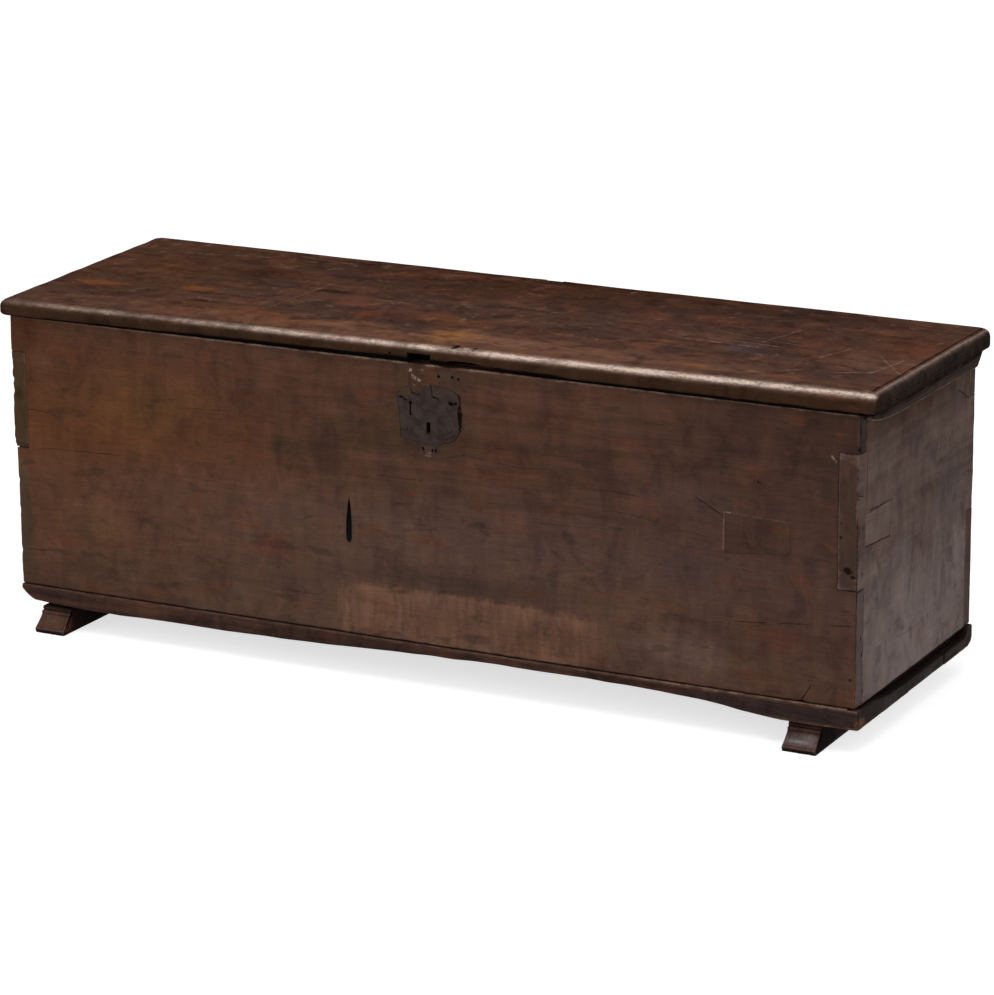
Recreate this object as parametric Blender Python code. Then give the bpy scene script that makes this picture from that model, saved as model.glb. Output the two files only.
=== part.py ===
"""Plank storage chest on two sledge runners, with a hinged lid, snipe hinges and an iron shield lock.

Frame: X runs along the chest, the front faces -Y, Z is up and the floor is z = 0.
The plank case measures CASE_LENGTH x CASE_DEPTH x CASE_HEIGHT and stands on three bottom planks.
Helpers take chest measures in millimetres: x from the case's left end, y from its front face,
z from the underside of the case, and turn them into metres in the frame above.
"""

import math

import bmesh
import bpy
from mathutils import Matrix, Vector

# Driving dimensions, in millimetres
CASE_LENGTH = 1550.0
CASE_DEPTH = 497.0
CASE_HEIGHT = 474.0
FRONT_BOARD = 27.0
LEFT_END_BOARD = 28.0
LEFT_END_PROUD = 4.5  # the left end board stands past the shrunk front board
RIGHT_END_BOARD = 33.0
PLANK_THICKNESS = 35.0
PLANK_JOINTS = (211.0, 370.0)  # y of the two joints between the bottom planks
PLANK_PROUD = 4.0
RUNNER_HEIGHT = 42.0
RUNNER_WIDTH = 58.0
RUNNER_TOE = 28.0
RUNNER_LEFT_X = 40.0
RUNNER_RIGHT_X = 1438.0
LID_THICKNESS = 34.0
LID_OVER_LEFT = 22.0
LID_OVER_RIGHT = 28.0
LID_OVER_FRONT = 9.0
LID_BACK_INSET = 2.0
LID_CORNER = 7.0
CLEAT_HEIGHT = 34.0
CLEAT_WIDTH = 15.0
GAP = 0.3  # between pieces that touch

# The lid has gone out of flat: rise of its top face at each corner
RISE_FRONT_LEFT = -6.0
RISE_BACK_LEFT = 5.0
RISE_FRONT_RIGHT = 2.0
RISE_BACK_RIGHT = -1.0

# Snipe hinges: interlocked split staples
HINGE_X = (215.0, 788.0, 1298.0)
HINGE_OUT = 9.0  # axis behind the back board
HINGE_DOWN = 3.0  # axis below the top of the case
EYE_RADIUS = 5.0
WIRE_RADIUS = 1.7
CASE_SHANK_ANGLE = math.radians(45.0)
LID_SHANK_ANGLE = math.radians(50.0)
SHANK_WIDTH = 4.0
SHANK_THICKNESS = 3.0
TAIL_LENGTH = 34.0
TAIL_WIDTH = 5.0
TAIL_THICKNESS = 1.6

# Lock
LOCK_X = 800.0
LOCK_Z = 392.0
PLATE_THICKNESS = 1.6
PLATE_INSET = 0.2  # the plate is let in, a little below the front face
BOLT_TRAVEL = 14.0
MORTISE = (763.0, 836.0, 352.0, 418.0)  # x and z limits behind the plate
MORTISE_DEPTH = 20.0
BOLT_Z = (391.0, 400.0)
BOLT_Y = (3.0, 8.0)
BOLT_TIP_X = 779.0
BOLT_TAIL_X = 835.0

# Heights of the corner joints: the end boards' tongues show on the front between these
LEFT_TONGUE = (243.0, 412.0)
RIGHT_TONGUE = (191.0, 411.0)
BACK_TONGUE = (200.0, 396.0)

CASE_X = -(CASE_LENGTH + LID_OVER_RIGHT - LID_OVER_LEFT) / 2  # the lid is centred on x = 0
CASE_Y = -CASE_DEPTH / 2
CASE_Z = RUNNER_HEIGHT + PLANK_THICKNESS


def clear_scene():
    for obj in list(bpy.data.objects):
        bpy.data.objects.remove(obj, do_unlink=True)


def finish(name, colour, roughness, metallic=0.0):
    material = bpy.data.materials.new(name)
    material.use_nodes = True
    shader = material.node_tree.nodes["Principled BSDF"]
    shader.inputs["Base Color"].default_value = (*colour, 1.0)
    shader.inputs["Roughness"].default_value = roughness
    shader.inputs["Metallic"].default_value = metallic
    material.diffuse_color = (*colour, 1.0)
    return material


def world(x, y, z):
    return Vector((CASE_X + x, CASE_Y + y, CASE_Z + z)) / 1000.0


def make_object(name, bm, material=None, origin=None):
    """A mesh object whose vertices are chest measures; origin is where its own origin sits."""
    bmesh.ops.recalc_face_normals(bm, faces=bm.faces)
    centre = world(*origin) if origin else Vector((0.0, 0.0, 0.0))
    for vert in bm.verts:
        vert.co = world(*vert.co) - centre
    mesh = bpy.data.meshes.new(name)
    bm.to_mesh(mesh)
    bm.free()
    obj = bpy.data.objects.new(name, mesh)
    obj.location = centre
    bpy.context.collection.objects.link(obj)
    if material:
        mesh.materials.append(material)
    return obj


def add_prism(bm, outline, axis, low, high):
    """Adds a prism: outline holds the two other coordinates, in X, Y, Z order."""
    def corner(u, v, w):
        return {"X": (w, u, v), "Y": (u, w, v), "Z": (u, v, w)}[axis]
    lower = [bm.verts.new(corner(u, v, low)) for u, v in outline]
    upper = [bm.verts.new(corner(u, v, high)) for u, v in outline]
    bm.faces.new(lower)
    bm.faces.new(upper)
    for i in range(len(outline)):
        j = (i + 1) % len(outline)
        bm.faces.new((lower[i], lower[j], upper[j], upper[i]))


def prism(outline, axis, low, high):
    bm = bmesh.new()
    add_prism(bm, outline, axis, low, high)
    return bm


def rectangle(u0, u1, v0, v1):
    return [(u0, v0), (u1, v0), (u1, v1), (u0, v1)]


def add_loft(bm, sections):
    """Adds a closed solid through sections of equal point count."""
    rows = [[bm.verts.new(point) for point in section] for section in sections]
    bm.faces.new(rows[0])
    bm.faces.new(rows[-1])
    count = len(rows[0])
    for a, b in zip(rows, rows[1:]):
        for i in range(count):
            j = (i + 1) % count
            bm.faces.new((a[i], a[j], b[j], b[i]))


def loft(sections):
    bm = bmesh.new()
    add_loft(bm, sections)
    return bm


def across(direction):
    """Two unit vectors square to a direction."""
    side = direction.cross(Vector((0.0, 0.0, 1.0)))
    if side.length < 0.1:
        side = direction.cross(Vector((1.0, 0.0, 0.0)))
    side.normalize()
    return side, direction.cross(side).normalized()


def add_turned(bm, base, direction, profile, sides=8):
    """Adds a turned shape: profile holds (distance along direction, radius)."""
    side, other = across(direction)
    rows = []
    for along, radius in profile:
        angles = [2 * math.pi * (k + 0.5) / sides for k in range(sides)]
        rows.append([base + direction * along + (side * math.cos(a) + other * math.sin(a)) * radius
                     for a in angles])
    add_loft(bm, rows)


def helper(name, bm):
    """A shape that only cuts or joins: wire, and not rendered."""
    obj = make_object(name, bm)
    obj.hide_render = True
    obj.display_type = "WIRE"
    return obj


def boolean(target, shape, operation="DIFFERENCE"):
    """Adds a shape to the one live Boolean of this kind on a piece."""
    modifier = target.modifiers.get(operation)
    if modifier is None:
        modifier = target.modifiers.new(operation, "BOOLEAN")
        modifier.operation = operation
        modifier.solver = "EXACT"
        modifier.operand_type = "COLLECTION"
        modifier.collection = bpy.data.collections.new(f"{operation}_{target.name}")
        bpy.context.scene.collection.children.link(modifier.collection)
    modifier.collection.objects.link(shape)


def cut(target, cutter_bm, name):
    cutter = helper(name, cutter_bm)
    boolean(target, cutter)
    return cutter


def nail(name, point, direction, length, boards, head=3.2, shank=1.6, sunk=2.4, origin=None):
    """A wrought nail driven along direction, and its hole in each board that it passes through.

    sunk is how far the board's pocket reaches under the head; without it the head stands on the face.
    """
    base = Vector(point)
    way = Vector(direction).normalized()
    bm = bmesh.new()
    add_turned(bm, base, way, [(sunk - 1.6, head * 0.45), (sunk - 0.9, head * 0.9), (sunk - GAP, head),
                               (sunk - GAP, shank), (length - 6.0, shank * 0.9), (length, 0.5)])
    obj = make_object(name, bm, IRON, origin)
    holes = bmesh.new()
    profile = [(-0.5, shank + GAP), (length + 0.5, shank + GAP)]
    if sunk:
        profile = [(-3.0, head + GAP), (sunk, head + GAP), (sunk, shank + GAP), (length + 0.5, shank + GAP)]
    add_turned(holes, base, way, profile)
    cutter = helper("cutter_" + name, holes)
    for board in boards:
        boolean(board, cutter)
    return obj


WALNUT = finish("walnut", (0.105, 0.045, 0.024), 0.55)
LID_WALNUT = finish("lid_walnut", (0.120, 0.042, 0.022), 0.45)
BASE_WALNUT = finish("base_walnut", (0.060, 0.028, 0.018), 0.60)
PATCH_WALNUT = finish("patch_walnut", (0.120, 0.055, 0.030), 0.55)
IRON = finish("wrought_iron", (0.030, 0.023, 0.022), 0.55, 0.8)


def offset(outline, distance):
    """The outline moved outwards, corner by corner; it runs clockwise."""
    moved = []
    count = len(outline)
    for i in range(count):
        before, here, after = (Vector(outline[k % count]) for k in (i - 1, i, i + 1))
        first, second = (here - before).normalized(), (after - here).normalized()
        normal = (Vector((-first.y, first.x)) + Vector((-second.y, second.x))).normalized()
        slope = max(0.5, normal.dot(Vector((-first.y, first.x))))
        moved.append(tuple(here + normal * (distance / slope)))
    return moved


def front_board():
    """The notches are where the end boards' tongues come through."""
    right = CASE_LENGTH - RIGHT_END_BOARD - GAP
    left = LEFT_END_BOARD - LEFT_END_PROUD + GAP
    outline = [(0, GAP), (CASE_LENGTH, GAP), (CASE_LENGTH, RIGHT_TONGUE[0] - GAP),
               (right, RIGHT_TONGUE[0] - GAP), (right, RIGHT_TONGUE[1] + GAP),
               (CASE_LENGTH - 0.4, RIGHT_TONGUE[1] + GAP), (CASE_LENGTH - 0.4, CASE_HEIGHT - GAP),
               (-LEFT_END_PROUD, CASE_HEIGHT - GAP), (-LEFT_END_PROUD, LEFT_TONGUE[1] + GAP),
               (left, LEFT_TONGUE[1] + GAP), (left + 0.5, LEFT_TONGUE[0] - GAP), (0, LEFT_TONGUE[0] - GAP)]
    board = make_object("front_board", prism(outline, "Y", 0.0, FRONT_BOARD), WALNUT)
    cut(board, prism(rectangle(*MORTISE), "Y", -5.0, MORTISE_DEPTH), "cutter_lock_mortise")
    bed = offset(plate_outline(), 0.7)
    bed = [(x + (1.8 if x > LOCK_X + 45.0 else 0.0), z) for x, z in bed]
    cut(board, prism(bed, "Y", -5.0, PLATE_INSET + PLATE_THICKNESS + GAP), "cutter_plate_bed")
    burn = [(656.5, 233.0), (651.0, 215.0), (643.0, 163.0), (644.0, 158.0), (654.0, 157.0), (655.5, 163.0)]
    cut(board, prism(burn, "Y", -5.0, 3.5), "cutter_burn_mark")
    return board


def back_board():
    low, high = BACK_TONGUE
    left = LEFT_END_BOARD - LEFT_END_PROUD + GAP
    right = CASE_LENGTH - RIGHT_END_BOARD - GAP
    outline = [(0, GAP), (CASE_LENGTH, GAP), (CASE_LENGTH, low - GAP), (right, low - GAP),
               (right, high + GAP), (CASE_LENGTH - 0.4, high + GAP), (CASE_LENGTH - 0.4, CASE_HEIGHT - GAP),
               (-0.4, CASE_HEIGHT - GAP), (-0.4, high + GAP), (left, high + GAP), (left, low - GAP),
               (0, low - GAP)]
    return make_object("back_board", prism(outline, "Y", CASE_DEPTH - FRONT_BOARD, CASE_DEPTH), WALNUT)


def end_board(name, inner, outer, tongue):
    """An end board with one tongue through the front board and one through the back board."""
    front, back = FRONT_BOARD + GAP, CASE_DEPTH - FRONT_BOARD - GAP
    top = CASE_HEIGHT - GAP
    low, high = BACK_TONGUE
    outline = [(front, GAP), (back, GAP), (back, low), (CASE_DEPTH, low), (CASE_DEPTH, high),
               (back - 0.2, high), (back - 0.2, top), (front + 0.2, top), (front + 0.2, tongue[1]),
               (0.0, tongue[1]), (0.0, tongue[0]), (front, tongue[0])]
    return make_object(name, prism(outline, "X", min(inner, outer), max(inner, outer)), WALNUT)


def let_in_patch(name, board, outline, axis, face, outward, depth=8.0):
    """A let-in repair, slightly proud, and its recess in the board."""
    middle = Vector((sum(p[0] for p in outline), sum(p[1] for p in outline))) / len(outline)
    wider = [middle + (Vector(p) - middle) * (1.0 + 2 * GAP / 50.0) for p in outline]
    low, high = sorted((face - outward * depth, face + outward * 0.4))
    patch = make_object(name, prism(outline, axis, low, high), PATCH_WALNUT)
    low, high = sorted((face - outward * (depth + GAP), face + outward * 5.0))
    cut(board, prism([tuple(p) for p in wider], axis, low, high), "cutter_" + name)
    return patch


def wane(x):
    """Thickness of the front plank's edge: an old waney edge, thinnest right of the middle."""
    stations = ((0, 6), (9, 16), (24, 26), (50, 28), (160, 31), (440, 29), (630, 24), (745, 18.5),
                (930, 15), (1110, 15), (1220, 17), (1290, 20), (1357, 28), (1426, 34), (1556, 34))
    for (x0, h0), (x1, h1) in zip(stations, stations[1:]):
        if x <= x1:
            t = (x - x0) / (x1 - x0)
            return h0 + (h1 - h0) * t
    return stations[-1][1]


def bottom_planks():
    top, under = -GAP, -PLANK_THICKNESS + GAP
    joint_a, joint_b = PLANK_JOINTS
    end = CASE_LENGTH + 6.0
    sections = []
    for x in (0, 9, 24, 50, 160, 440, 630, 745, 930, 1110, 1220, 1290, 1357, 1426, 1500, end):
        edge = wane(x)
        reach = max(1.0, 3.6 * (PLANK_THICKNESS - edge))
        sections.append([(x, -PLANK_PROUD + 2.0, top), (x, -PLANK_PROUD, top - 2.5), (x, -PLANK_PROUD, -edge),
                         (x, -PLANK_PROUD + reach, under), (x, joint_a - GAP, under), (x, joint_a - GAP, top)])
    front = make_object("bottom_plank_front", loft(sections), BASE_WALNUT)
    middle = make_object("bottom_plank_middle", prism(
        rectangle(joint_a, joint_b - GAP, under, top), "X", 0.0, end - 1.0), BASE_WALNUT)
    back_edge = CASE_DEPTH - 1.0
    outline = [(joint_b, under), (back_edge - 18.0, under), (back_edge - 5.0, under + 6.0),
               (back_edge, under + 16.0), (back_edge, top), (joint_b, top)]
    back = make_object("bottom_plank_back", prism(outline, "X", 0.0, end), BASE_WALNUT)

    # The planks' right ends are worn away in a step under the end board, deeper towards the back
    step = loft([[(x, -9.0, 3.0), (x, -9.0, -2.0), (x, 60.0, -4.0), (x, 130.0, -13.0), (x, 220.0, -16.0),
                  (x, 505.0, -16.0), (x, 505.0, 3.0)] for x in (CASE_LENGTH - 13.0, end + 5.0)])
    cutter = cut(front, step, "cutter_worn_step")
    boolean(middle, cutter)
    boolean(back, cutter)
    return [front, middle, back]


def runner(name, x):
    """A sledge runner: fillets and a cove sweep out to a blunt toe at each end."""
    floor, top = -CASE_Z, -PLANK_THICKNESS - GAP
    height = RUNNER_HEIGHT - GAP
    half = [(0.5, height), (0.5, 37.5), (2.0, 36.8), (-4.0, 36.0), (-5.0, 32.0), (-3.0, 30.8)]
    for k in range(1, 7):
        angle = math.pi / 2 * k / 6
        half.append((-RUNNER_TOE + 1 + (RUNNER_TOE - 4) * math.cos(angle), 30.0 - 17.0 * math.sin(angle)))
    half += [(-RUNNER_TOE, 12.0), (-RUNNER_TOE, 2.0), (-RUNNER_TOE + 2, 0.0)]
    front = [(y, floor + z) for y, z in half]
    back = [(CASE_DEPTH - y, floor + z) for y, z in reversed(half)]
    assert abs(front[0][1] - top) < 0.01
    return make_object(name, prism(front + back, "X", x, x + RUNNER_WIDTH), BASE_WALNUT)


def lid_rise(x, y):
    """How far the lid's top face is out of flat at a point."""
    s = min(1.0, max(0.0, (x + LID_OVER_LEFT) / (CASE_LENGTH + LID_OVER_LEFT + LID_OVER_RIGHT)))
    t = min(1.0, max(0.0, y / CASE_DEPTH))
    front = RISE_FRONT_LEFT * (1 - s) + RISE_FRONT_RIGHT * s
    back = RISE_BACK_LEFT * (1 - s) + RISE_BACK_RIGHT * s
    return front * (1 - t) + back * t


def lid_ring(height, front, left, right, back, lift):
    """One ring round the lid: rounded corners, and points along the long edges for the twist."""
    pieces = 8
    radius = LID_CORNER
    x0, x1 = -LID_OVER_LEFT + left, CASE_LENGTH + LID_OVER_RIGHT - right
    y0, y1 = -LID_OVER_FRONT + front, CASE_DEPTH - LID_BACK_INSET - back
    points = []
    inner = [x0 + radius + (x1 - x0 - 2 * radius) * k / pieces for k in range(pieces + 1)]
    corners = ((x1 - radius, y0 + radius, -60), (x1 - radius, y1 - radius, 0),
               (x0 + radius, y1 - radius, 120), (x0 + radius, y0 + radius, 180))
    arcs = []
    for cx, cy, start in corners:
        arcs.append([(cx + radius * math.cos(math.radians(start + a)),
                      cy + radius * math.sin(math.radians(start + a))) for a in (0, 30, 60)])
    points += [(x, y0) for x in inner]
    points += arcs[0] + arcs[1]
    points += [(x, y1) for x in reversed(inner)]
    points += arcs[2] + arcs[3]
    return [(x, y, height + GAP + lift * lid_rise(x, y)) for x, y in points], pieces


def lid_board():
    """One thick plank: thumbnail nose on the front and both ends, slightly twisted."""
    axis = (CASE_LENGTH / 2, CASE_DEPTH + HINGE_OUT, CASE_HEIGHT - HINGE_DOWN)
    # height over the case, then how far each ring is drawn in at the front, left, right and back
    profile = ((0.0, 5.0, 6.0, 6.0, 1.0, 0.0), (2.0, 2.0, 2.0, 2.0, 0.0, 0.0), (7.0, 0.0, 0.0, 0.0, 0.0, 0.2),
               (21.0, 0.0, 0.0, 0.0, 0.0, 0.6), (28.0, 4.0, 2.0, 2.5, 0.0, 0.85),
               (32.0, 9.0, 5.5, 7.0, 1.0, 0.95), (LID_THICKNESS - GAP, 15.0, 11.0, 13.0, 3.0, 1.0))
    bm = bmesh.new()
    rows = []
    for height, front, left, right, back, lift in profile:
        points, pieces = lid_ring(CASE_HEIGHT + height, front, left, right, back, lift)
        rows.append([bm.verts.new(p) for p in points])
    count = len(rows[0])
    for a, b in zip(rows, rows[1:]):
        for i in range(count):
            j = (i + 1) % count
            bm.faces.new((a[i], a[j], b[j], b[i]))
    back_start = pieces + 1 + 6
    for row in (rows[0], rows[-1]):
        for i in range(pieces):
            bm.faces.new((row[i], row[i + 1], row[back_start + pieces - i - 1], row[back_start + pieces - i]))
        bm.faces.new([row[k] for k in range(pieces, back_start + 1)])
        bm.faces.new([row[k % count] for k in range(back_start + pieces, count + 1)])
    lid = make_object("lid_board", bm, LID_WALNUT, axis)

    under = CASE_HEIGHT - 3.0
    hasp = prism(rectangle(769.0, 811.0, under, CASE_HEIGHT + 18.0), "Y", -15.0, 17.0)
    cut(lid, hasp, "cutter_hasp_notch")
    chip = [(812.0, under), (1007.0, under), (1007.0, CASE_HEIGHT + 1.0), (886.0, CASE_HEIGHT + 13.0),
            (843.0, CASE_HEIGHT + 12.0), (838.0, CASE_HEIGHT + 4.0), (812.0, CASE_HEIGHT + 4.0)]
    cut(lid, prism(chip, "Y", -15.0, 19.0), "cutter_split_nose")
    quirk_x = CASE_LENGTH + LID_OVER_RIGHT - 14.5
    quirk = loft([[(quirk_x - 1.3, y, CASE_HEIGHT + LID_THICKNESS + lid_rise(quirk_x, y) + 1.0),
                   (quirk_x + 1.3, y, CASE_HEIGHT + LID_THICKNESS + lid_rise(quirk_x, y) + 1.0),
                   (quirk_x, y, CASE_HEIGHT + LID_THICKNESS + lid_rise(quirk_x, y) - 2.0)]
                  for y in (-20.0, 520.0)])
    cut(lid, quirk, "cutter_quirk")
    holes = bmesh.new()
    for x, z, radius in ((737.0, 14.0, 2.0), (862.0, 22.0, 2.2), (884.0, 20.0, 2.0)):
        add_turned(holes, Vector((x, -15.0, CASE_HEIGHT + z)), Vector((0, 1, 0)), [(0, radius), (24.0, radius)])
    cut(lid, holes, "cutter_old_hasp_nails")
    return lid


def lid_cleat(name, face, outward):
    """A batten under the lid's end, outside the case: raked face, rising towards the front."""
    axis = (CASE_LENGTH / 2, CASE_DEPTH + HINGE_OUT, CASE_HEIGHT - HINGE_DOWN)
    near, far = face + outward * 1.0, face + outward * (1.0 + CLEAT_WIDTH)
    toe = face + outward * 5.0
    sections = []
    for y, drop in ((24.0, 12.0), (48.0, 20.0), (100.0, 28.0), (160.0, 31.0), (CASE_DEPTH - 8.0, CLEAT_HEIGHT)):
        low = CASE_HEIGHT - drop
        sections.append([(near, y, CASE_HEIGHT), (near, y, low), (toe, y, low),
                         (far, y, CASE_HEIGHT - 1.5), (far, y, CASE_HEIGHT)])
    return make_object(name, loft(sections), WALNUT, axis)


def add_eye(bm, centre, first, second, segments=16, sides=8):
    """A closed ring of wire round centre, in the plane of two unit vectors."""
    normal = first.cross(second)
    rows = []
    for k in range(segments):
        a = 2 * math.pi * k / segments
        out = first * math.cos(a) + second * math.sin(a)
        ring = []
        for m in range(sides):
            b = 2 * math.pi * (m + 0.5) / sides
            offset = out * (EYE_RADIUS + WIRE_RADIUS * math.cos(b)) + normal * (WIRE_RADIUS * math.sin(b))
            ring.append(bm.verts.new(centre + offset))
        rows.append(ring)
    for k in range(segments):
        a, b = rows[k], rows[(k + 1) % segments]
        for m in range(sides):
            n = (m + 1) % sides
            bm.faces.new((a[m], a[n], b[n], b[m]))


def add_bar(bm, start, end, wide, thick, width_axis):
    """A square-sectioned bar between two points."""
    way = (end - start).normalized()
    depth_axis = way.cross(width_axis).normalized()
    rows = []
    for point in (start, end):
        rows.append([point + width_axis * (wide / 2 * u) + depth_axis * (thick / 2 * v)
                     for u, v in ((-1, -1), (1, -1), (1, 1), (-1, 1))])
    add_loft(bm, rows)


def staple(name, eye_centre, plane, way, reach, tail_normal, board, let_in=0.0, origin=None):
    """A split staple: wire eye, shank through the wood, and two legs clenched over on the far side.

    plane holds the eye's two directions, way the shank's, reach its length from the eye's centre,
    let_in how far the slot for the clenched legs goes past them, along tail_normal.
    """
    start = EYE_RADIUS - 0.6
    along_x = Vector((1.0, 0.0, 0.0))
    bm = bmesh.new()
    add_eye(bm, eye_centre, *plane)
    obj = make_object(name, bm, IRON, origin)
    shank = bmesh.new()
    add_bar(shank, eye_centre + way * start, eye_centre + way * reach, SHANK_WIDTH, SHANK_THICKNESS, along_x)
    boolean(obj, helper("joined_shank_" + name, shank), "UNION")
    tail = bmesh.new()
    end = eye_centre + way * reach
    half = along_x * (TAIL_LENGTH / 2)
    add_bar(tail, end - half, end + half, TAIL_THICKNESS, TAIL_WIDTH, tail_normal)
    boolean(obj, helper("joined_tail_" + name, tail), "UNION")
    hole = bmesh.new()
    add_bar(hole, eye_centre + way * start, eye_centre + way * (reach + 4.0),
            SHANK_WIDTH + 2 * GAP, SHANK_THICKNESS + 2 * GAP, along_x)
    cut(board, hole, "cutter_shank_" + name)
    if let_in:
        slot = bmesh.new()
        wider = along_x * (TAIL_LENGTH / 2 + 2 * GAP)
        middle = end + tail_normal * (let_in / 2)
        add_bar(slot, middle - wider, middle + wider, TAIL_THICKNESS + 2 * GAP + let_in, TAIL_WIDTH + 2 * GAP,
                tail_normal)
        cut(board, slot, "cutter_tail_" + name)
    return obj


def snipe_hinge(place, x, case_board, lid):
    """Two interlocked staples: the case's eye holds a bar along X, and the lid's eye turns on it."""
    axis_point = (x, CASE_DEPTH + HINGE_OUT, CASE_HEIGHT - HINGE_DOWN)
    axis = Vector(axis_point)
    along_x = Vector((1.0, 0.0, 0.0))
    down = Vector((0.0, -math.cos(CASE_SHANK_ANGLE), -math.sin(CASE_SHANK_ANGLE)))
    up = Vector((0.0, -math.cos(LID_SHANK_ANGLE), math.sin(LID_SHANK_ANGLE)))
    inner_face = (HINGE_OUT + FRONT_BOARD + TAIL_THICKNESS / 2 + GAP) / math.cos(CASE_SHANK_ANGLE)
    staple("hinge_staple_case_" + place, axis + down * EYE_RADIUS, (along_x, down), down,
           inner_face - EYE_RADIUS, Vector((0.0, 1.0, 0.0)), case_board)
    rise = HINGE_DOWN + LID_THICKNESS + lid_rise(x, CASE_DEPTH - 25.0) - TAIL_THICKNESS / 2 - 0.5
    staple("hinge_staple_lid_" + place, axis, (Vector((0.0, 1.0, 0.0)), Vector((0.0, 0.0, 1.0))), up,
           rise / math.sin(LID_SHANK_ANGLE), Vector((0.0, 0.0, 1.0)), lid, 5.0, axis_point)


def plate_outline():
    """The shield: shaped shoulders, a tail, and a cut at the top that once cleared the hasp."""
    outline = [(7, 49), (35, 47), (49, 41), (56, 33), (59, 24), (54, 8), (55, -2), (60, -14), (57, -27),
               (48, -40), (37, -46), (28, -46), (20, -54), (17, -62), (6, -69), (-6, -66), (-12, -58),
               (-22, -49), (-40, -45), (-50, -43), (-51, -19), (-52, -1), (-56, 11), (-56, 27), (-48, 37),
               (-30, 46), (-30, 34), (-26, 29), (-20, 27), (-14, 30), (-11, 38), (-5, 44)]
    return [(LOCK_X + x, LOCK_Z + z) for x, z in outline]


def lock_plate(board):
    """A thin iron shield let into the front, with a keyhole and the slot for the hasp's staple."""
    back = PLATE_INSET + PLATE_THICKNESS
    plate = make_object("lock_plate", prism(plate_outline(), "Y", PLATE_INSET, back), IRON)
    cut(plate, prism(rectangle(797.0, 805.0, 358.5, 377.0), "Y", -5.0, 5.0), "cutter_keyhole")
    slot = [(766.5, 386.0), (771.5, 386.0), (771.5, 388.0), (770.0, 388.0), (770.0, 405.0), (772.0, 406.0),
            (771.5, 409.0), (766.0, 409.5), (765.5, 406.0), (767.5, 405.0), (767.5, 388.0), (766.5, 388.0)]
    cut(plate, prism(slot, "Y", -5.0, 5.0), "cutter_staple_slot")
    wedge = [(840.0, 411.0), (844.0, 416.0), (848.0, 416.0), (852.0, 413.5), (844.0, 412.5), (841.0, 409.0)]
    cut(plate, prism(wedge, "Y", -5.0, 5.0), "cutter_torn_slot")
    corners = ((759.5, 363.5), (841.0, 368.0), (756.0, 416.0), (842.5, 423.0))
    for number, (x, z) in enumerate(corners, 1):
        nail(f"lock_nail_{number}", (x, PLATE_INSET, z), (0, 1, 0), 22.0, [plate, board],
             head=3.4, shank=1.4, sunk=0.0)
    return plate


def lock_works():
    """The bolt, its two guides, the leaf spring over it and the ward behind the keyhole."""
    z0, z1 = BOLT_Z
    y0, y1 = BOLT_Y
    face = PLATE_INSET + PLATE_THICKNESS + GAP
    lug = 5.0
    bolt = [(BOLT_TIP_X, z0), (799.0, z0), (799.0, z0 - lug), (803.0, z0 - lug), (803.0, z0 - 1.0),
            (813.0, z0 - 1.0), (813.0, z0 - lug), (817.0, z0 - lug), (817.0, z0), (BOLT_TAIL_X, z0 + 0.2),
            (BOLT_TAIL_X, z1), (BOLT_TIP_X + 2.0, z1), (BOLT_TIP_X, z1 - 2.0)]
    make_object("lock_bolt", prism(bolt, "Y", y0, y1), IRON, (BOLT_TIP_X, y0, z0))
    clear = 0.4
    for place, x in (("left", 781.0), ("right", 821.0)):
        bridge = [(face, z0 - clear - 3.0), (y1 + clear + 2.5, z0 - clear - 3.0),
                  (y1 + clear + 2.5, z1 + clear + 3.0), (face, z1 + clear + 3.0), (face, z1 + clear),
                  (y1 + clear, z1 + clear), (y1 + clear, z0 - clear), (face, z0 - clear)]
        make_object("lock_guide_" + place, prism(bridge, "X", x, x + 3.5), IRON)
    thick = 1.2
    arch = [(787.0 + 25.0 * k / 8, z1 + clear + 4.0 * (2 * k / 8 - 1) ** 2) for k in range(9)]
    foot = [(815.5, z1 + 10.0), (815.5, z1 + 16.0)]
    lower = arch + foot
    upper = [(x - 0.4, z + thick) for x, z in arch] + [(814.0, z1 + 11.0), (814.0, z1 + 16.0)]
    make_object("lock_spring", prism(lower + upper[::-1], "Y", y0, y1 - 0.5), IRON)
    ring = []
    for radius, angles in ((11.0, range(200, 341, 20)), (9.2, range(340, 199, -20))):
        ring += [(801.0 + radius * math.cos(math.radians(a)), 368.0 + radius * math.sin(math.radians(a)))
                 for a in angles]
    make_object("lock_ward", prism(ring, "Y", face, 9.0), IRON)


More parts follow.
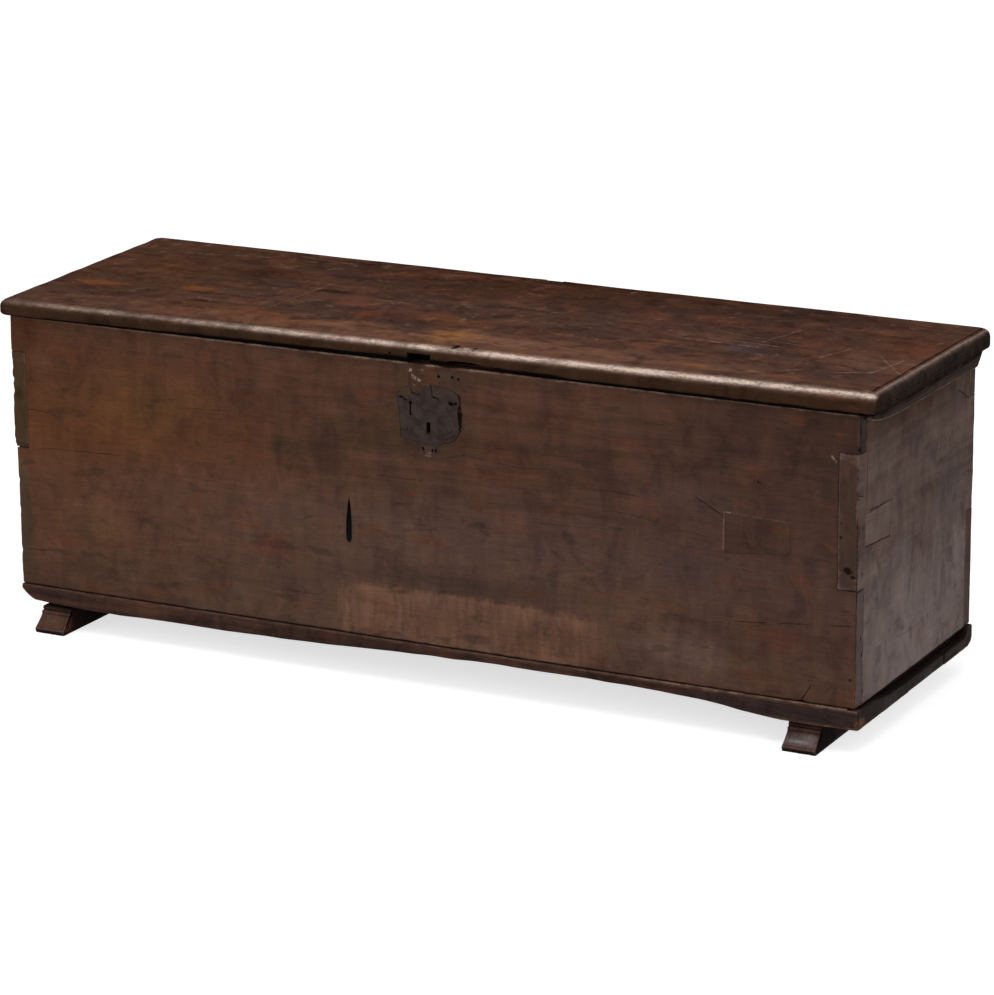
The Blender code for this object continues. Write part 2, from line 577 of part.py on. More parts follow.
def build():
    clear_scene()
    front, back = front_board(), back_board()
    left = end_board("left_end_board", LEFT_END_BOARD - LEFT_END_PROUD, -LEFT_END_PROUD, LEFT_TONGUE)
    right = end_board("right_end_board", CASE_LENGTH - RIGHT_END_BOARD, CASE_LENGTH, RIGHT_TONGUE)
    low = LEFT_TONGUE[0]
    chip = [(-8.0, low + 14.0), (-3.0, low + 12.0), (2.5, low + 8.0), (6.0, low + 3.0), (6.0, low - 3.0),
            (-8.0, low - 3.0)]
    cut(left, prism(chip, "Y", -3.0, 14.0), "cutter_tongue_chip")
    planks = bottom_planks()
    runners = [runner("left_runner", RUNNER_LEFT_X), runner("right_runner", RUNNER_RIGHT_X)]
    let_in_patch("front_patch", front, [(1326, 291), (1327, 226), (1437, 237), (1437, 287)], "Y", 0.0, -1)
    let_in_patch("end_patch", right, [(30, 308), (32, 257), (131, 249), (141, 305)], "X", CASE_LENGTH, 1)

    lid = lid_board()
    cleats = [lid_cleat("left_lid_cleat", -LEFT_END_PROUD, -1), lid_cleat("right_lid_cleat", CASE_LENGTH, 1)]
    for place, x in zip(("left", "middle", "right"), HINGE_X):
        snipe_hinge(place, x, back, lid)
    lock_plate(front)
    lock_works()

    # Corner nails: through the end boards' tongues into the front and back boards, and through the
    # back board's fingers into the end boards
    end_x = LEFT_END_BOARD / 2 - LEFT_END_PROUD
    right_x = CASE_LENGTH - RIGHT_END_BOARD / 2
    for number, (y, z) in enumerate(((19.0, 289.0), (19.5, 215.0)), 1):
        nail(f"front_right_nail_{number}", (CASE_LENGTH, y, z), (-1, 0, 0), 62.0, [right, front])
    nail("front_right_nail_3", (1541.0, 0.0, 47.0), (0, 1, 0), 62.0, [front, right], head=2.4)
    for number, z in enumerate((272.0, 330.0, 388.0), 1):
        nail(f"front_left_nail_{number}", (-LEFT_END_PROUD, 15.0, z), (1, 0, 0), 62.0, [left, front])
    for place, x, board, outer, way in (("left", end_x, left, -LEFT_END_PROUD, 1),
                                        ("right", right_x, right, CASE_LENGTH, -1)):
        for number, z in enumerate((100.0, 436.0), 1):
            nail(f"back_{place}_nail_{number}", (x, CASE_DEPTH, z), (0, -1, 0), 62.0, [back, board])
        nail(f"back_{place}_nail_3", (outer, CASE_DEPTH - 15.5, 266.0), (way, 0, 0), 62.0, [board, back])

    # Bottom nails: up through the planks' ends into the end boards
    middles = (105.0, 290.0, 430.0)
    for place, x, board in (("left", end_x, left), ("right", CASE_LENGTH - 23.0, right)):
        for number, (plank, y) in enumerate(zip(planks, middles), 1):
            nail(f"bottom_{place}_nail_{number}", (x, y, -PLANK_THICKNESS + GAP), (0, 0, 1), 75.0, [plank, board])

    # Runner nails: up through the runners into the planks
    for place, obj, x in (("left", runners[0], RUNNER_LEFT_X), ("right", runners[1], RUNNER_RIGHT_X)):
        for number, (plank, y) in enumerate(((planks[0], 150.0), (planks[2], 420.0)), 1):
            nail(f"{place}_runner_nail_{number}", (x + RUNNER_WIDTH / 2, y, -CASE_Z), (0, 0, 1), 66.0,
                 [obj, plank], sunk=5.0)

    # Batten nails: up through the raked faces into the lid, heads in pockets
    axis = (CASE_LENGTH / 2, CASE_DEPTH + HINGE_OUT, CASE_HEIGHT - HINGE_DOWN)
    for place, obj, x in (("left", cleats[0], -LEFT_END_PROUD - 9.0), ("right", cleats[1], CASE_LENGTH + 9.0)):
        for number, y in enumerate((70.0, 250.0, 440.0), 1):
            nail(f"{place}_cleat_nail_{number}", (x, y, CASE_HEIGHT - 22.0), (0, 0, 1), 38.0, [obj, lid],
                 head=3.0, shank=1.3, sunk=5.0, origin=axis)


build()
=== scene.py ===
import math

import bmesh
import bpy
import numpy as np
from mathutils import Matrix, Vector


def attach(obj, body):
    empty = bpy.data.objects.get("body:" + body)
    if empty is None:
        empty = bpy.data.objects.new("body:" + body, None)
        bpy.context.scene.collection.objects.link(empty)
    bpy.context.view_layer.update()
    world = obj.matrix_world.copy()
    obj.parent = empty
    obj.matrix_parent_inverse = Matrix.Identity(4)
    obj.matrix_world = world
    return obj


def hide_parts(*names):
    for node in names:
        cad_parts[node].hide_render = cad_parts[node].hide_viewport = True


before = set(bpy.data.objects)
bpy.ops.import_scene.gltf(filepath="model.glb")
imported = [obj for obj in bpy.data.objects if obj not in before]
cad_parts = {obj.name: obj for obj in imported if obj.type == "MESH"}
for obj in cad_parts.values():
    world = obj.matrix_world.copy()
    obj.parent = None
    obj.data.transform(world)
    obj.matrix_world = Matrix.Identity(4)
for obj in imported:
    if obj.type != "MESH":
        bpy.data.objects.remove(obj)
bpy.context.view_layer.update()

# Everything below is in chest measures: millimetres, x from the case's left end, y from its front
# face, z from the underside of the case. toWorld() turns them into the frame's metres.
chest = {"length": 1550.0, "depth": 497.0, "height": 474.0, "origin": (-778.0, -248.5, 77.0)}


def toWorld(points):
    return (np.asarray(points, float) + np.array(chest["origin"])) / 1000.0


def toChest(points):
    return np.asarray(points, float) * 1000.0 - np.array(chest["origin"])


cameraSet = {"place": (2.9932, -5.7201, 2.0937), "yaw": 27.48, "pitch": 15.84, "roll": -0.48,
             "focalPixels": 3987.58, "photoWidth": 994.0, "sensor": 36.0}


def setCamera():
    yaw, pitch, roll = (math.radians(cameraSet[k]) for k in ("yaw", "pitch", "roll"))
    back = Vector((math.sin(yaw) * math.cos(pitch), -math.cos(yaw) * math.cos(pitch), math.sin(pitch)))
    right = Vector((0, 0, 1)).cross(back).normalized()
    up = back.cross(right)
    turnedRight = right * math.cos(roll) + up * math.sin(roll)
    turnedUp = up * math.cos(roll) - right * math.sin(roll)
    data = bpy.data.cameras.new("photoCamera")
    data.sensor_width, data.sensor_fit = cameraSet["sensor"], "HORIZONTAL"
    data.lens = cameraSet["sensor"] * cameraSet["focalPixels"] / cameraSet["photoWidth"]
    data.clip_start, data.clip_end = 0.1, 100.0
    obj = bpy.data.objects.new("photoCamera", data)
    bpy.context.scene.collection.objects.link(obj)
    matrix = Matrix((turnedRight, turnedUp, back)).transposed().to_4x4()
    matrix.translation = Vector(cameraSet["place"])
    obj.matrix_world = matrix
    bpy.context.scene.camera = obj


setCamera()
print("camera set")

lattice = np.random.RandomState(31).rand(32, 32, 32)


# Smooth noise from -1 to 1; size is the width of its lumps in millimetres.
def bumps(points, size, seed=0):
    q = np.asarray(points, float) / np.asarray(size, float) + seed * 7.31
    low = np.floor(q).astype(int)
    f = q - low
    f = f * f * (3 - 2 * f)
    a, b = low & 31, (low + 1) & 31
    total = 0.0
    for cx, wx in ((a[:, 0], 1 - f[:, 0]), (b[:, 0], f[:, 0])):
        for cy, wy in ((a[:, 1], 1 - f[:, 1]), (b[:, 1], f[:, 1])):
            for cz, wz in ((a[:, 2], 1 - f[:, 2]), (b[:, 2], f[:, 2])):
                total = total + wx * wy * wz * lattice[cx, cy, cz]
    return total * 2 - 1


def bumpsAlong(values, size, seed=0):
    values = np.asarray(values, float)
    flat = np.stack([values, np.full(len(values), 3.3), np.full(len(values), 9.1)], 1)
    return bumps(flat, (size, 1.0, 1.0), seed)


def bumpsOver(u, v, size, seed=0):
    return bumps(np.stack([u, v, u * 0], 1), (*size, 1.0), seed)


# The value of a table of (place, value) pairs at each place.
def follow(table, places):
    return np.interp(places, *zip(*table))


def meshObject(name, points, faces):
    mesh = bpy.data.meshes.new(name)
    mesh.from_pydata(toWorld(points).tolist(), [], [list(map(int, f)) for f in faces])
    mesh.validate()
    mesh.update()
    obj = bpy.data.objects.new(name, mesh)
    bpy.context.scene.collection.objects.link(obj)
    return obj


# Grid places from low to high, at most about step apart, with closer ones beside the ends and edges.
def gridLines(low, high, step, edges=(), near=(0.7, 1.7, 3.2, 5.5)):
    stops = sorted({low, high, *edges})
    kept = list(stops)
    for s in stops:
        for d in near:
            for v in (s - d, s + d):
                if low < v < high and min(abs(v - k) for k in kept) > 0.45:
                    kept.append(v)
    kept.sort()
    lines = [kept[0]]
    for v in kept[1:]:
        gap = v - lines[-1]
        parts = max(1, int(round(gap / step)))
        start = lines[-1]
        lines += [start + gap * (k + 1) / parts for k in range(parts)]
    return np.array(lines)


# A closed skin round the cells for which solid(x, y, z) is true; shape() then moves its points.
def gridBlock(name, lines, solid, shape):
    xs, ys, zs = lines
    mids = [(v[1:] + v[:-1]) / 2 for v in lines]
    cells = np.zeros([len(v) + 1 for v in lines], bool)
    grid = np.meshgrid(*mids, indexing="ij")
    cells[1:-1, 1:-1, 1:-1] = solid(*grid)
    counts = [len(v) for v in lines]
    quads = []
    for axis in range(3):
        ahead = np.moveaxis(cells, axis, 0)
        change = ahead[1:].astype(int) - ahead[:-1].astype(int)  # line i lies between cells i and i + 1
        for sign in (-1, 1):
            i, j, k = np.nonzero(change[:, 1:-1, 1:-1] == sign)
            others = [n for n in range(3) if n != axis]
            corner = []
            for dj, dk in ((0, 0), (1, 0), (1, 1), (0, 1)):
                index = [None, None, None]
                index[axis], index[others[0]], index[others[1]] = i, j + dj, k + dk
                corner.append((index[0] * counts[1] + index[1]) * counts[2] + index[2])
            order = np.stack(corner, 1)
            outward = (axis != 1) == (sign == -1)  # y x z runs backwards for the middle axis
            quads.append(order if outward else order[:, ::-1])
    quads = np.concatenate(quads)
    used, faces = np.unique(quads, return_inverse=True)
    faces = faces.reshape(-1, 4)
    points = np.stack([xs[used // (counts[1] * counts[2])], ys[(used // counts[2]) % counts[1]],
                       zs[used % counts[2]]], 1)
    return meshObject(name, shape(points), faces)


# A closed skin over a row of rings with the same number of points.
def loftObject(name, sections):
    count = len(sections[0])
    points = np.concatenate([np.asarray(s, float) for s in sections])
    faces = []
    for r in range(len(sections) - 1):
        for i in range(count):
            j = (i + 1) % count
            faces.append((r * count + i, r * count + j, (r + 1) * count + j, (r + 1) * count + i))
    faces.append(tuple(range(count))[::-1])
    faces.append(tuple(range((len(sections) - 1) * count, len(sections) * count)))
    obj = meshObject(name, points, faces)
    outwards(obj)
    return obj


def outwards(obj):
    bm = bmesh.new()
    bm.from_mesh(obj.data)
    bmesh.ops.recalc_face_normals(bm, faces=bm.faces)
    bm.to_mesh(obj.data)
    bm.free()


# For both in-plane axes: the distance to the nearest worn edge, its inward way and its values.
def nearestEdges(points, spec):
    found = []
    for axis in spec["plane"]:
        other = spec["plane"][1] if axis == spec["plane"][0] else spec["plane"][0]
        best = {"d": np.full(len(points), 1e6), "way": np.zeros(len(points)), "r": np.zeros(len(points)),
                "shine": np.zeros(len(points)), "soil": np.zeros(len(points))}
        for number, wall in enumerate(spec["walls"]):
            if wall["axis"] != axis:
                continue
            along = points[:, other]
            d = (points[:, axis] - wall["at"]) * wall["inward"]
            inside = (along >= wall["low"] - 0.05) & (along <= wall["high"] + 0.05) & (d >= -3.0)
            d = np.abs(d)
            closer = inside & (d < best["d"])
            wear = 1.0 + 0.45 * bumpsAlong(along, 34.0, number + 1) + 0.3 * bumpsAlong(along, 9.0, number + 5)
            best["d"] = np.where(closer, d, best["d"])
            best["way"] = np.where(closer, wall["inward"], best["way"])
            best["r"] = np.where(closer, wall["radius"] * wear, best["r"])
            for key in ("shine", "soil"):
                value = wall[key] if isinstance(wall[key], float) else follow(wall[key], along)
                best[key] = np.where(closer, value, best[key])
        found.append(best)
    return found


def wornEdges(points, spec):
    a, b = spec["plane"]
    c = 3 - a - b
    first, second = nearestEdges(points, spec)
    low, high = spec["faces"]
    toLow, toHigh = points[:, c] - low, high - points[:, c]
    nearLow = toLow <= toHigh
    face = np.where(nearLow, toLow, toHigh)
    factor = np.where(nearLow, *spec.get("faceWear", (1.0, 0.6)))
    r = np.maximum(np.where(first["d"] < first["r"], first["r"], 0.0),
                   np.where(second["d"] < second["r"], second["r"], 0.0)) * factor
    q = [np.clip(r - first["d"], 0, None), np.clip(r - second["d"], 0, None), np.clip(r - face, 0, None)]
    size = np.sqrt(q[0] ** 2 + q[1] ** 2 + q[2] ** 2)
    worn = (size > r) & (r > 0.05)
    scale = np.where(worn, r / np.where(worn, size, 1.0), 1.0)
    out = points.copy()
    for axis, part, way, d in ((a, q[0], first["way"], first["d"]), (b, q[1], second["way"], second["d"]),
                               (c, q[2], np.where(nearLow, 1.0, -1.0), face)):
        moved = worn & (part > 0)
        out[:, axis] += np.where(moved, way * ((r - part * scale) - d), 0.0)
    return out


# Presses small hollows into the surface: (x, y, z), radius, depth, way.
def nick(points, places):
    out = points.copy()
    for place, radius, depth, way in places:
        d = np.linalg.norm(points - np.array(place), axis=1)
        share = np.clip(1 - (d / radius) ** 2, 0, 1) ** 2
        out += share[:, None] * depth * np.array(way)
    return out


def randomNicks(seed, count, start, end, way, radius=(3.5, 9.0), depth=(0.4, 1.5)):
    draw = np.random.RandomState(seed)
    start, end = np.array(start, float), np.array(end, float)
    made = []
    for _ in range(count):
        t = draw.rand()
        size = draw.uniform(*radius)
        made.append((start + (end - start) * t, size, draw.uniform(*depth) * min(1.0, size / 7.0), way))
    return made


def finerOutline(outline, step):
    points = []
    for p, q in zip(outline, [*outline[1:], outline[0]]):
        parts = max(1, int(math.dist(p, q) / step))
        points += [(p[0] + (q[0] - p[0]) * k / parts, p[1] + (q[1] - p[1]) * k / parts) for k in range(parts)]
    return points


def inwardOf(loop):
    ahead = np.roll(loop, -1, 0) - np.roll(loop, 1, 0)
    ahead /= np.linalg.norm(ahead, axis=1)[:, None]
    return np.stack([-ahead[:, 1], ahead[:, 0]], 1)


# A cutter with straight walls; rough gives its outline a torn edge.
def prismCutter(outline, axis, low, high, rough=0.0, seed=3, step=4.0):
    points = list(outline)
    if rough:
        points = finerOutline(points, step)
        u, v = np.array(points).T
        shift = np.stack([bumpsOver(u, v, (5.0, 5.0), s) for s in (seed, seed + 9)], 1) * rough
        points = [(u + s[0], v + s[1]) for (u, v), s in zip(points, shift)]
    place = {"X": lambda u, v, w: (w, u, v), "Y": lambda u, v, w: (u, w, v), "Z": lambda u, v, w: (u, v, w)}
    return loftObject("cutter", [[place[axis](u, v, w) for u, v in points] for w in (low, high)])


def boxOutline(u0, u1, v0, v1):
    return [(u0, v0), (u1, v0), (u1, v1), (u0, v1)]


# A crack: a thin wedge along a path on a face. face(a, b, deep) gives a chest point.
def wedgeCutter(path, width, depth, face, wobble=0.8, seed=5, step=6.0, above=1.5):
    path = np.array(path, float)
    steps = [path[0]]
    for p, q in zip(path, path[1:]):
        parts = max(1, int(np.linalg.norm(q - p) / step))
        steps += [p + (q - p) * (k + 1) / parts for k in range(parts)]
    line = np.array(steps)
    flat = np.stack([line[:, 0], line[:, 1], np.zeros(len(line))], 1)
    ahead = np.gradient(line, axis=0)
    ahead /= np.linalg.norm(ahead, axis=1)[:, None]
    across = np.stack([-ahead[:, 1], ahead[:, 0]], 1)
    line = line + across * (bumps(flat, 11.0, seed) * wobble)[:, None]
    t = np.linspace(0, 1, len(line))
    taper = np.clip(np.minimum(t, 1 - t) * 7, 0.12, 1) * (1 + 0.45 * bumps(flat, 8.0, seed + 2))
    sections = []
    for p, n, k in zip(line, across, taper):
        wide = n * width / 2 * k
        grow = 1 + above / max(depth, 0.5)
        sections.append([face(*(p - wide * grow), -above), face(*(p + wide * grow), -above),
                         face(*(p + wide * 0.15), depth * k), face(*(p - wide * 0.15), depth * k)])
    return loftObject("cutter", sections)


def crackCutters(cracks, face, wobble, seed):
    return [wedgeCutter(path, width, depth, face, wobble, seed + n)
            for n, (path, width, depth) in enumerate(cracks)]


def roundCutter(place, way, radius, depth, sides=10, start=-2.0, squeeze=1.0):
    way = Vector(way).normalized()
    side = way.orthogonal().normalized()
    other = way.cross(side)
    sections = []
    for along, share in ((start, 1.0), (depth * 0.6, 1.0), (depth, 0.55)):
        ring = []
        for k in range(sides):
            t = 2 * math.pi * k / sides
            wobble = 1 + 0.14 * math.sin(3 * t + place[0]) + 0.08 * math.sin(5 * t + place[2])
            offset = (side * math.cos(t) + other * math.sin(t) * squeeze) * radius * share * wobble
            ring.append(Vector(place) + way * along + offset)
        sections.append([tuple(p) for p in ring])
    return loftObject("cutter", sections)


def cutAway(obj, cutters):
    group = bpy.data.collections.new("cutters_" + obj.name)
    bpy.context.scene.collection.children.link(group)
    for cutter in cutters:
        for owner in list(cutter.users_collection):
            owner.objects.unlink(cutter)
        group.objects.link(cutter)
    boolean = obj.modifiers.new("cut", "BOOLEAN")
    boolean.operation, boolean.solver = "DIFFERENCE", "MANIFOLD"
    boolean.operand_type, boolean.collection = "COLLECTION", group
    bpy.context.view_layer.update()
    made = bpy.data.meshes.new_from_object(obj.evaluated_get(bpy.context.evaluated_depsgraph_get()))
    obj.modifiers.remove(boolean)
    old, obj.data = obj.data, made
    made.name = obj.name
    bpy.data.meshes.remove(old)
    for cutter in cutters:
        mesh = cutter.data
        bpy.data.objects.remove(cutter)
        bpy.data.meshes.remove(mesh)
    bpy.data.collections.remove(group)


def pointsOf(obj):
    co = np.zeros(len(obj.data.vertices) * 3)
    obj.data.vertices.foreach_get("co", co)
    return toChest(co.reshape(-1, 3))


def setValue(obj, name, values):
    attribute = obj.data.attributes.get(name) or obj.data.attributes.new(name, "FLOAT", "POINT")
    attribute.data.foreach_set("value", np.asarray(values, np.float32))


def valuesOf(obj, name):
    values = np.zeros(len(obj.data.vertices))
    obj.data.attributes[name].data.foreach_get("value", values)
    return values


# The arris value says how pale a point is at an edge: rubbed wear with painted highlights. The other value is
# dirt with painted shade.
def markWearAndHighlights(obj, spec, shineReach=3.4, soilReach=3.2):
    points = pointsOf(obj)
    a, b = spec["plane"]
    c = 3 - a - b
    low, high = spec["faces"]
    face = np.minimum(np.abs(points[:, c] - low), np.abs(high - points[:, c]))
    shine = np.zeros(len(points))
    soil = np.zeros(len(points))
    for best in nearestEdges(points, spec):
        reach = shineReach * (1 + 0.4 * bumps(points, 13.0, 4))
        shine = np.maximum(shine, best["shine"] * np.clip(1 - np.hypot(best["d"], face) / reach, 0, 1))
        soil = np.maximum(soil, best["soil"] * np.clip(1 - best["d"] / soilReach, 0, 1))
    setValue(obj, "arris", shine)
    setValue(obj, "grimeAndShade", soil)


def shade(obj, angle=32.0):
    obj.data.polygons.foreach_set("use_smooth", [True] * len(obj.data.polygons))
    obj.data.set_sharp_from_angle(angle=math.radians(angle))


# The last step for a piece: its finish, its body and the CAD nodes that it stands for.
def settle(obj, body, slot, material, *nodes):
    obj.data.materials.clear()
    obj.data.materials.append(material)
    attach(obj, body)
    if nodes:
        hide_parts(*nodes)
    return obj


class Wiring:
    def __init__(self, tree):
        self.tree = tree
        self.count = 0

    def put(self, kind, values=(), **settings):
        node = self.tree.nodes.new(kind)
        node.location = (self.count % 12 * 190, -(self.count // 12) * 260)
        self.count += 1
        for key, value in settings.items():
            setattr(node, key, value)
        for key, value in dict(values).items():
            if isinstance(value, bpy.types.NodeSocket):
                self.tree.links.new(value, node.inputs[key])
            elif value is not None:
                node.inputs[key].default_value = value
        return node

    def maths(self, operation, a, b=0.0, c=None, clamp=False):
        values = {0: a, 1: b} if c is None else {0: a, 1: b, 2: c}
        return self.put("ShaderNodeMath", values, operation=operation, use_clamp=clamp).outputs[0]

    def vector(self, operation, a, b=None, scale=None):
        node = self.put("ShaderNodeVectorMath", {0: a, 1: b, "Scale": scale}, operation=operation)
        return node.outputs["Value" if operation in ("LENGTH", "DOT_PRODUCT", "DISTANCE") else "Vector"]

    def noise(self, vector, detail=2.0, roughness=0.5, distortion=0.0):
        values = {"Vector": vector, "Scale": 1.0, "Detail": detail, "Roughness": roughness,
                  "Distortion": distortion}
        return self.put("ShaderNodeTexNoise", values)

    def attribute(self, name):
        return self.put("ShaderNodeAttribute", attribute_name=name).outputs["Fac"]

    def join(self, value, node, key):
        self.tree.links.new(value, node.inputs[key])

    def spread(self, value, low, high, start=0.0, end=1.0, smooth=True):
        node = self.put("ShaderNodeMapRange", {"Value": value, "From Min": low, "From Max": high,
                                               "To Min": start, "To Max": end},
                        interpolation_type="SMOOTHSTEP" if smooth else "LINEAR")
        return node.outputs["Result"]

    def mix(self, share, a, b, blend="MIX"):
        node = self.put("ShaderNodeMix", {}, data_type="RGBA", blend_type=blend, clamp_factor=True)
        for index, value in ((0, share), (6, a), (7, b)):
            if isinstance(value, bpy.types.NodeSocket):
                self.tree.links.new(value, node.inputs[index])
            else:
                node.inputs[index].default_value = (*value, 1.0) if index and len(value) == 3 else value
        return node.outputs[2]


def shaderGroup(name, inputs, outputs):
    tree = bpy.data.node_groups.new(name, "ShaderNodeTree")
    for label, kind, value in inputs:
        socket = tree.interface.new_socket(name=label, in_out="INPUT", socket_type="NodeSocket" + kind)
        if value is not None:
            socket.default_value = value
    for label, kind in outputs:
        tree.interface.new_socket(name=label, in_out="OUTPUT", socket_type="NodeSocket" + kind)
    wires = Wiring(tree)
    return tree, wires, wires.put("NodeGroupInput"), wires.put("NodeGroupOutput")


def makeGrainGroup():
    tree, w, given, result = shaderGroup(
        "walnutGrain",
        (("Vector", "Vector", None), ("Seed", "Float", 0.0), ("Swirl", "Float", 26.0)),
        (("Figure", "Float"), ("Streak", "Float"), ("Pore", "Float"), ("Cloud", "Float"), ("Mottle", "Float"),
         ("Ripple", "Float"), ("Height", "Float")))
    shift = w.vector("SCALE", w.put("ShaderNodeCombineXYZ", {0: 731.0, 1: 219.0, 2: 417.0}).outputs[0],
                     scale=given.outputs["Seed"])
    start = w.vector("ADD", given.outputs["Vector"], shift)
    bend = w.noise(w.vector("MULTIPLY", start, (0.0035, 0.012, 0.012)), 2.0)
    turned = w.vector("SCALE", w.vector("SUBTRACT", bend.outputs["Color"], (0.5, 0.5, 0.5)),
                      scale=given.outputs["Swirl"])
    flow = w.vector("ADD", start, turned)
    figure = w.noise(w.vector("MULTIPLY", flow, (0.0024, 0.05, 0.05)), 3.0, 0.55).outputs["Fac"]
    streak = w.noise(w.vector("MULTIPLY", flow, (0.013, 0.36, 0.36)), 4.0, 0.62).outputs["Fac"]
    fine = w.noise(w.vector("MULTIPLY", flow, (0.055, 1.25, 1.25)), 2.0, 0.6).outputs["Fac"]
    pore = w.spread(fine, 0.56, 0.68)
    cloud = w.noise(w.vector("MULTIPLY", start, (0.0045, 0.009, 0.009)), 3.0, 0.6).outputs["Fac"]
    mottle = w.noise(w.vector("MULTIPLY", flow, (0.021, 0.030, 0.017)), 5.0, 0.62, 0.6).outputs["Fac"]
    ripple = w.noise(w.vector("MULTIPLY", start, (0.045, 0.016, 0.010)), 4.0, 0.65).outputs["Fac"]
    height = w.maths("SUBTRACT", w.maths("MULTIPLY", streak, 0.7), w.maths("MULTIPLY", pore, 0.45))
    for label, value in (("Figure", figure), ("Streak", streak), ("Pore", pore), ("Cloud", cloud),
                         ("Mottle", mottle), ("Ripple", ripple), ("Height", height)):
        w.join(value, result, label)
    return tree


def makePatchGroup():
    tree, w, given, result = shaderGroup(
        "ragPatch",
        (("Vector", "Vector", None), ("Centre", "Vector", (0, 0, 0)), ("Share", "Vector", (1, 1, 1)),
         ("Ragged", "Float", 0.5), ("Softness", "Float", 0.5), ("Power", "Float", 2.0),
         ("Grain", "Vector", (0.01, 0.05, 0.05))),
        (("Mask", "Float"),))
    way = w.vector("MULTIPLY", w.vector("SUBTRACT", given.outputs["Vector"], given.outputs["Centre"]),
                   given.outputs["Share"])
    parts = w.put("ShaderNodeSeparateXYZ", {0: w.vector("ABSOLUTE", way)})
    raised = [w.maths("POWER", parts.outputs[k], given.outputs["Power"]) for k in range(3)]
    far = w.maths("POWER", w.maths("ADD", w.maths("ADD", raised[0], raised[1]), raised[2]),
                  w.maths("DIVIDE", 1.0, given.outputs["Power"]))
    rough = w.noise(w.vector("MULTIPLY", given.outputs["Vector"], given.outputs["Grain"]), 4.0, 0.65)
    edge = w.maths("MULTIPLY", w.maths("SUBTRACT", rough.outputs["Fac"], 0.5), given.outputs["Ragged"])
    edge = w.maths("ADD", far, w.maths("MULTIPLY", edge, 2.0))
    inner = w.maths("SUBTRACT", 1.0, given.outputs["Softness"])
    share = w.maths("DIVIDE", w.maths("SUBTRACT", 1.0, edge),
                    w.maths("MAXIMUM", w.maths("SUBTRACT", 1.0, inner), 0.02), clamp=True)
    w.join(w.spread(share, 0.0, 1.0), result, "Mask")
    return tree


def makeScratchGroup():
    tree, w, given, result = shaderGroup(
        "scratchLine",
        (("Vector", "Vector", None), ("Start", "Vector", (0, 0, 0)), ("End", "Vector", (1, 0, 0)),
         ("Width", "Float", 1.5), ("Wander", "Float", 3.0), ("Broken", "Float", 0.4)),
        (("Mask", "Float"),))
    bend = w.noise(w.vector("SCALE", given.outputs["Vector"], scale=0.03), 2.0)
    wander = w.vector("SCALE", w.vector("SUBTRACT", bend.outputs["Color"], (0.5, 0.5, 0.5)),
                      scale=given.outputs["Wander"])
    point = w.vector("ADD", given.outputs["Vector"], wander)
    fromStart = w.vector("SUBTRACT", point, given.outputs["Start"])
    line = w.vector("SUBTRACT", given.outputs["End"], given.outputs["Start"])
    share = w.maths("DIVIDE", w.vector("DOT_PRODUCT", fromStart, line), w.vector("DOT_PRODUCT", line, line),
                    clamp=True)
    far = w.vector("LENGTH", w.vector("SUBTRACT", fromStart, w.vector("SCALE", line, scale=share)))
    mask = w.spread(w.maths("DIVIDE", far, given.outputs["Width"]), 0.35, 1.0, 1.0, 0.0)
    gaps = w.noise(w.vector("SCALE", given.outputs["Vector"], scale=0.11), 2.0).outputs["Fac"]
    gaps = w.spread(gaps, 0.4, 0.55)
    keep = w.maths("SUBTRACT", 1.0, w.maths("MULTIPLY", given.outputs["Broken"], gaps))
    w.join(w.maths("MULTIPLY", mask, keep), result, "Mask")
    return tree


# Pale edges are rubbed wear with painted highlights; dark edges are dirt with painted shade.
def makeEdgeGroup():
    tree, w, given, result = shaderGroup(
        "edgeWearAndPaintedLight",
        (("Vector", "Vector", None), ("Arris", "Float", 0.0), ("GrimeAndShade", "Float", 0.0),
         ("Even", "Float", 0.25)),
        (("RubbedAndHighlight", "Float"), ("DirtAndShade", "Float")))
    patchy = w.noise(w.vector("MULTIPLY", given.outputs["Vector"], (0.035, 0.16, 0.16)), 4.0, 0.7)
    rubbedAndHighlight = w.spread(patchy.outputs["Fac"], 0.32, 0.6, given.outputs["Even"], 1.25)
    rubbedAndHighlight = w.maths("MULTIPLY", given.outputs["Arris"], rubbedAndHighlight)
    grit = w.noise(w.vector("MULTIPLY", given.outputs["Vector"], (0.16, 0.35, 0.35)), 2.0, 0.6)
    rubbedAndHighlight = w.maths("MULTIPLY", rubbedAndHighlight, w.spread(grit.outputs["Fac"], 0.36, 0.60, 0.62, 1.18))
    cloudy = w.noise(w.vector("MULTIPLY", given.outputs["Vector"], (0.03, 0.06, 0.06)), 3.0, 0.6)
    dirtAndShade = w.maths("MULTIPLY", given.outputs["GrimeAndShade"], w.spread(cloudy.outputs["Fac"], 0.3, 0.7, 0.3, 1.3))
    w.join(w.maths("MINIMUM", rubbedAndHighlight, 1.0), result, "RubbedAndHighlight")
    solid = w.maths("SUBTRACT", given.outputs["GrimeAndShade"], 1.0, clamp=True)
    w.join(w.maths("MINIMUM", w.maths("ADD", dirtAndShade, solid), 1.0), result, "DirtAndShade")
    return tree


groups = {"grain": makeGrainGroup(), "patch": makePatchGroup(), "scratch": makeScratchGroup(),
          "edges": makeEdgeGroup()}


def useGroup(w, key, values):
    node = w.put("ShaderNodeGroup", {}, node_tree=groups[key])
    for label, value in values.items():
        if isinstance(value, bpy.types.NodeSocket):
            w.tree.links.new(value, node.inputs[label])
        else:
            node.inputs[label].default_value = value
    return node


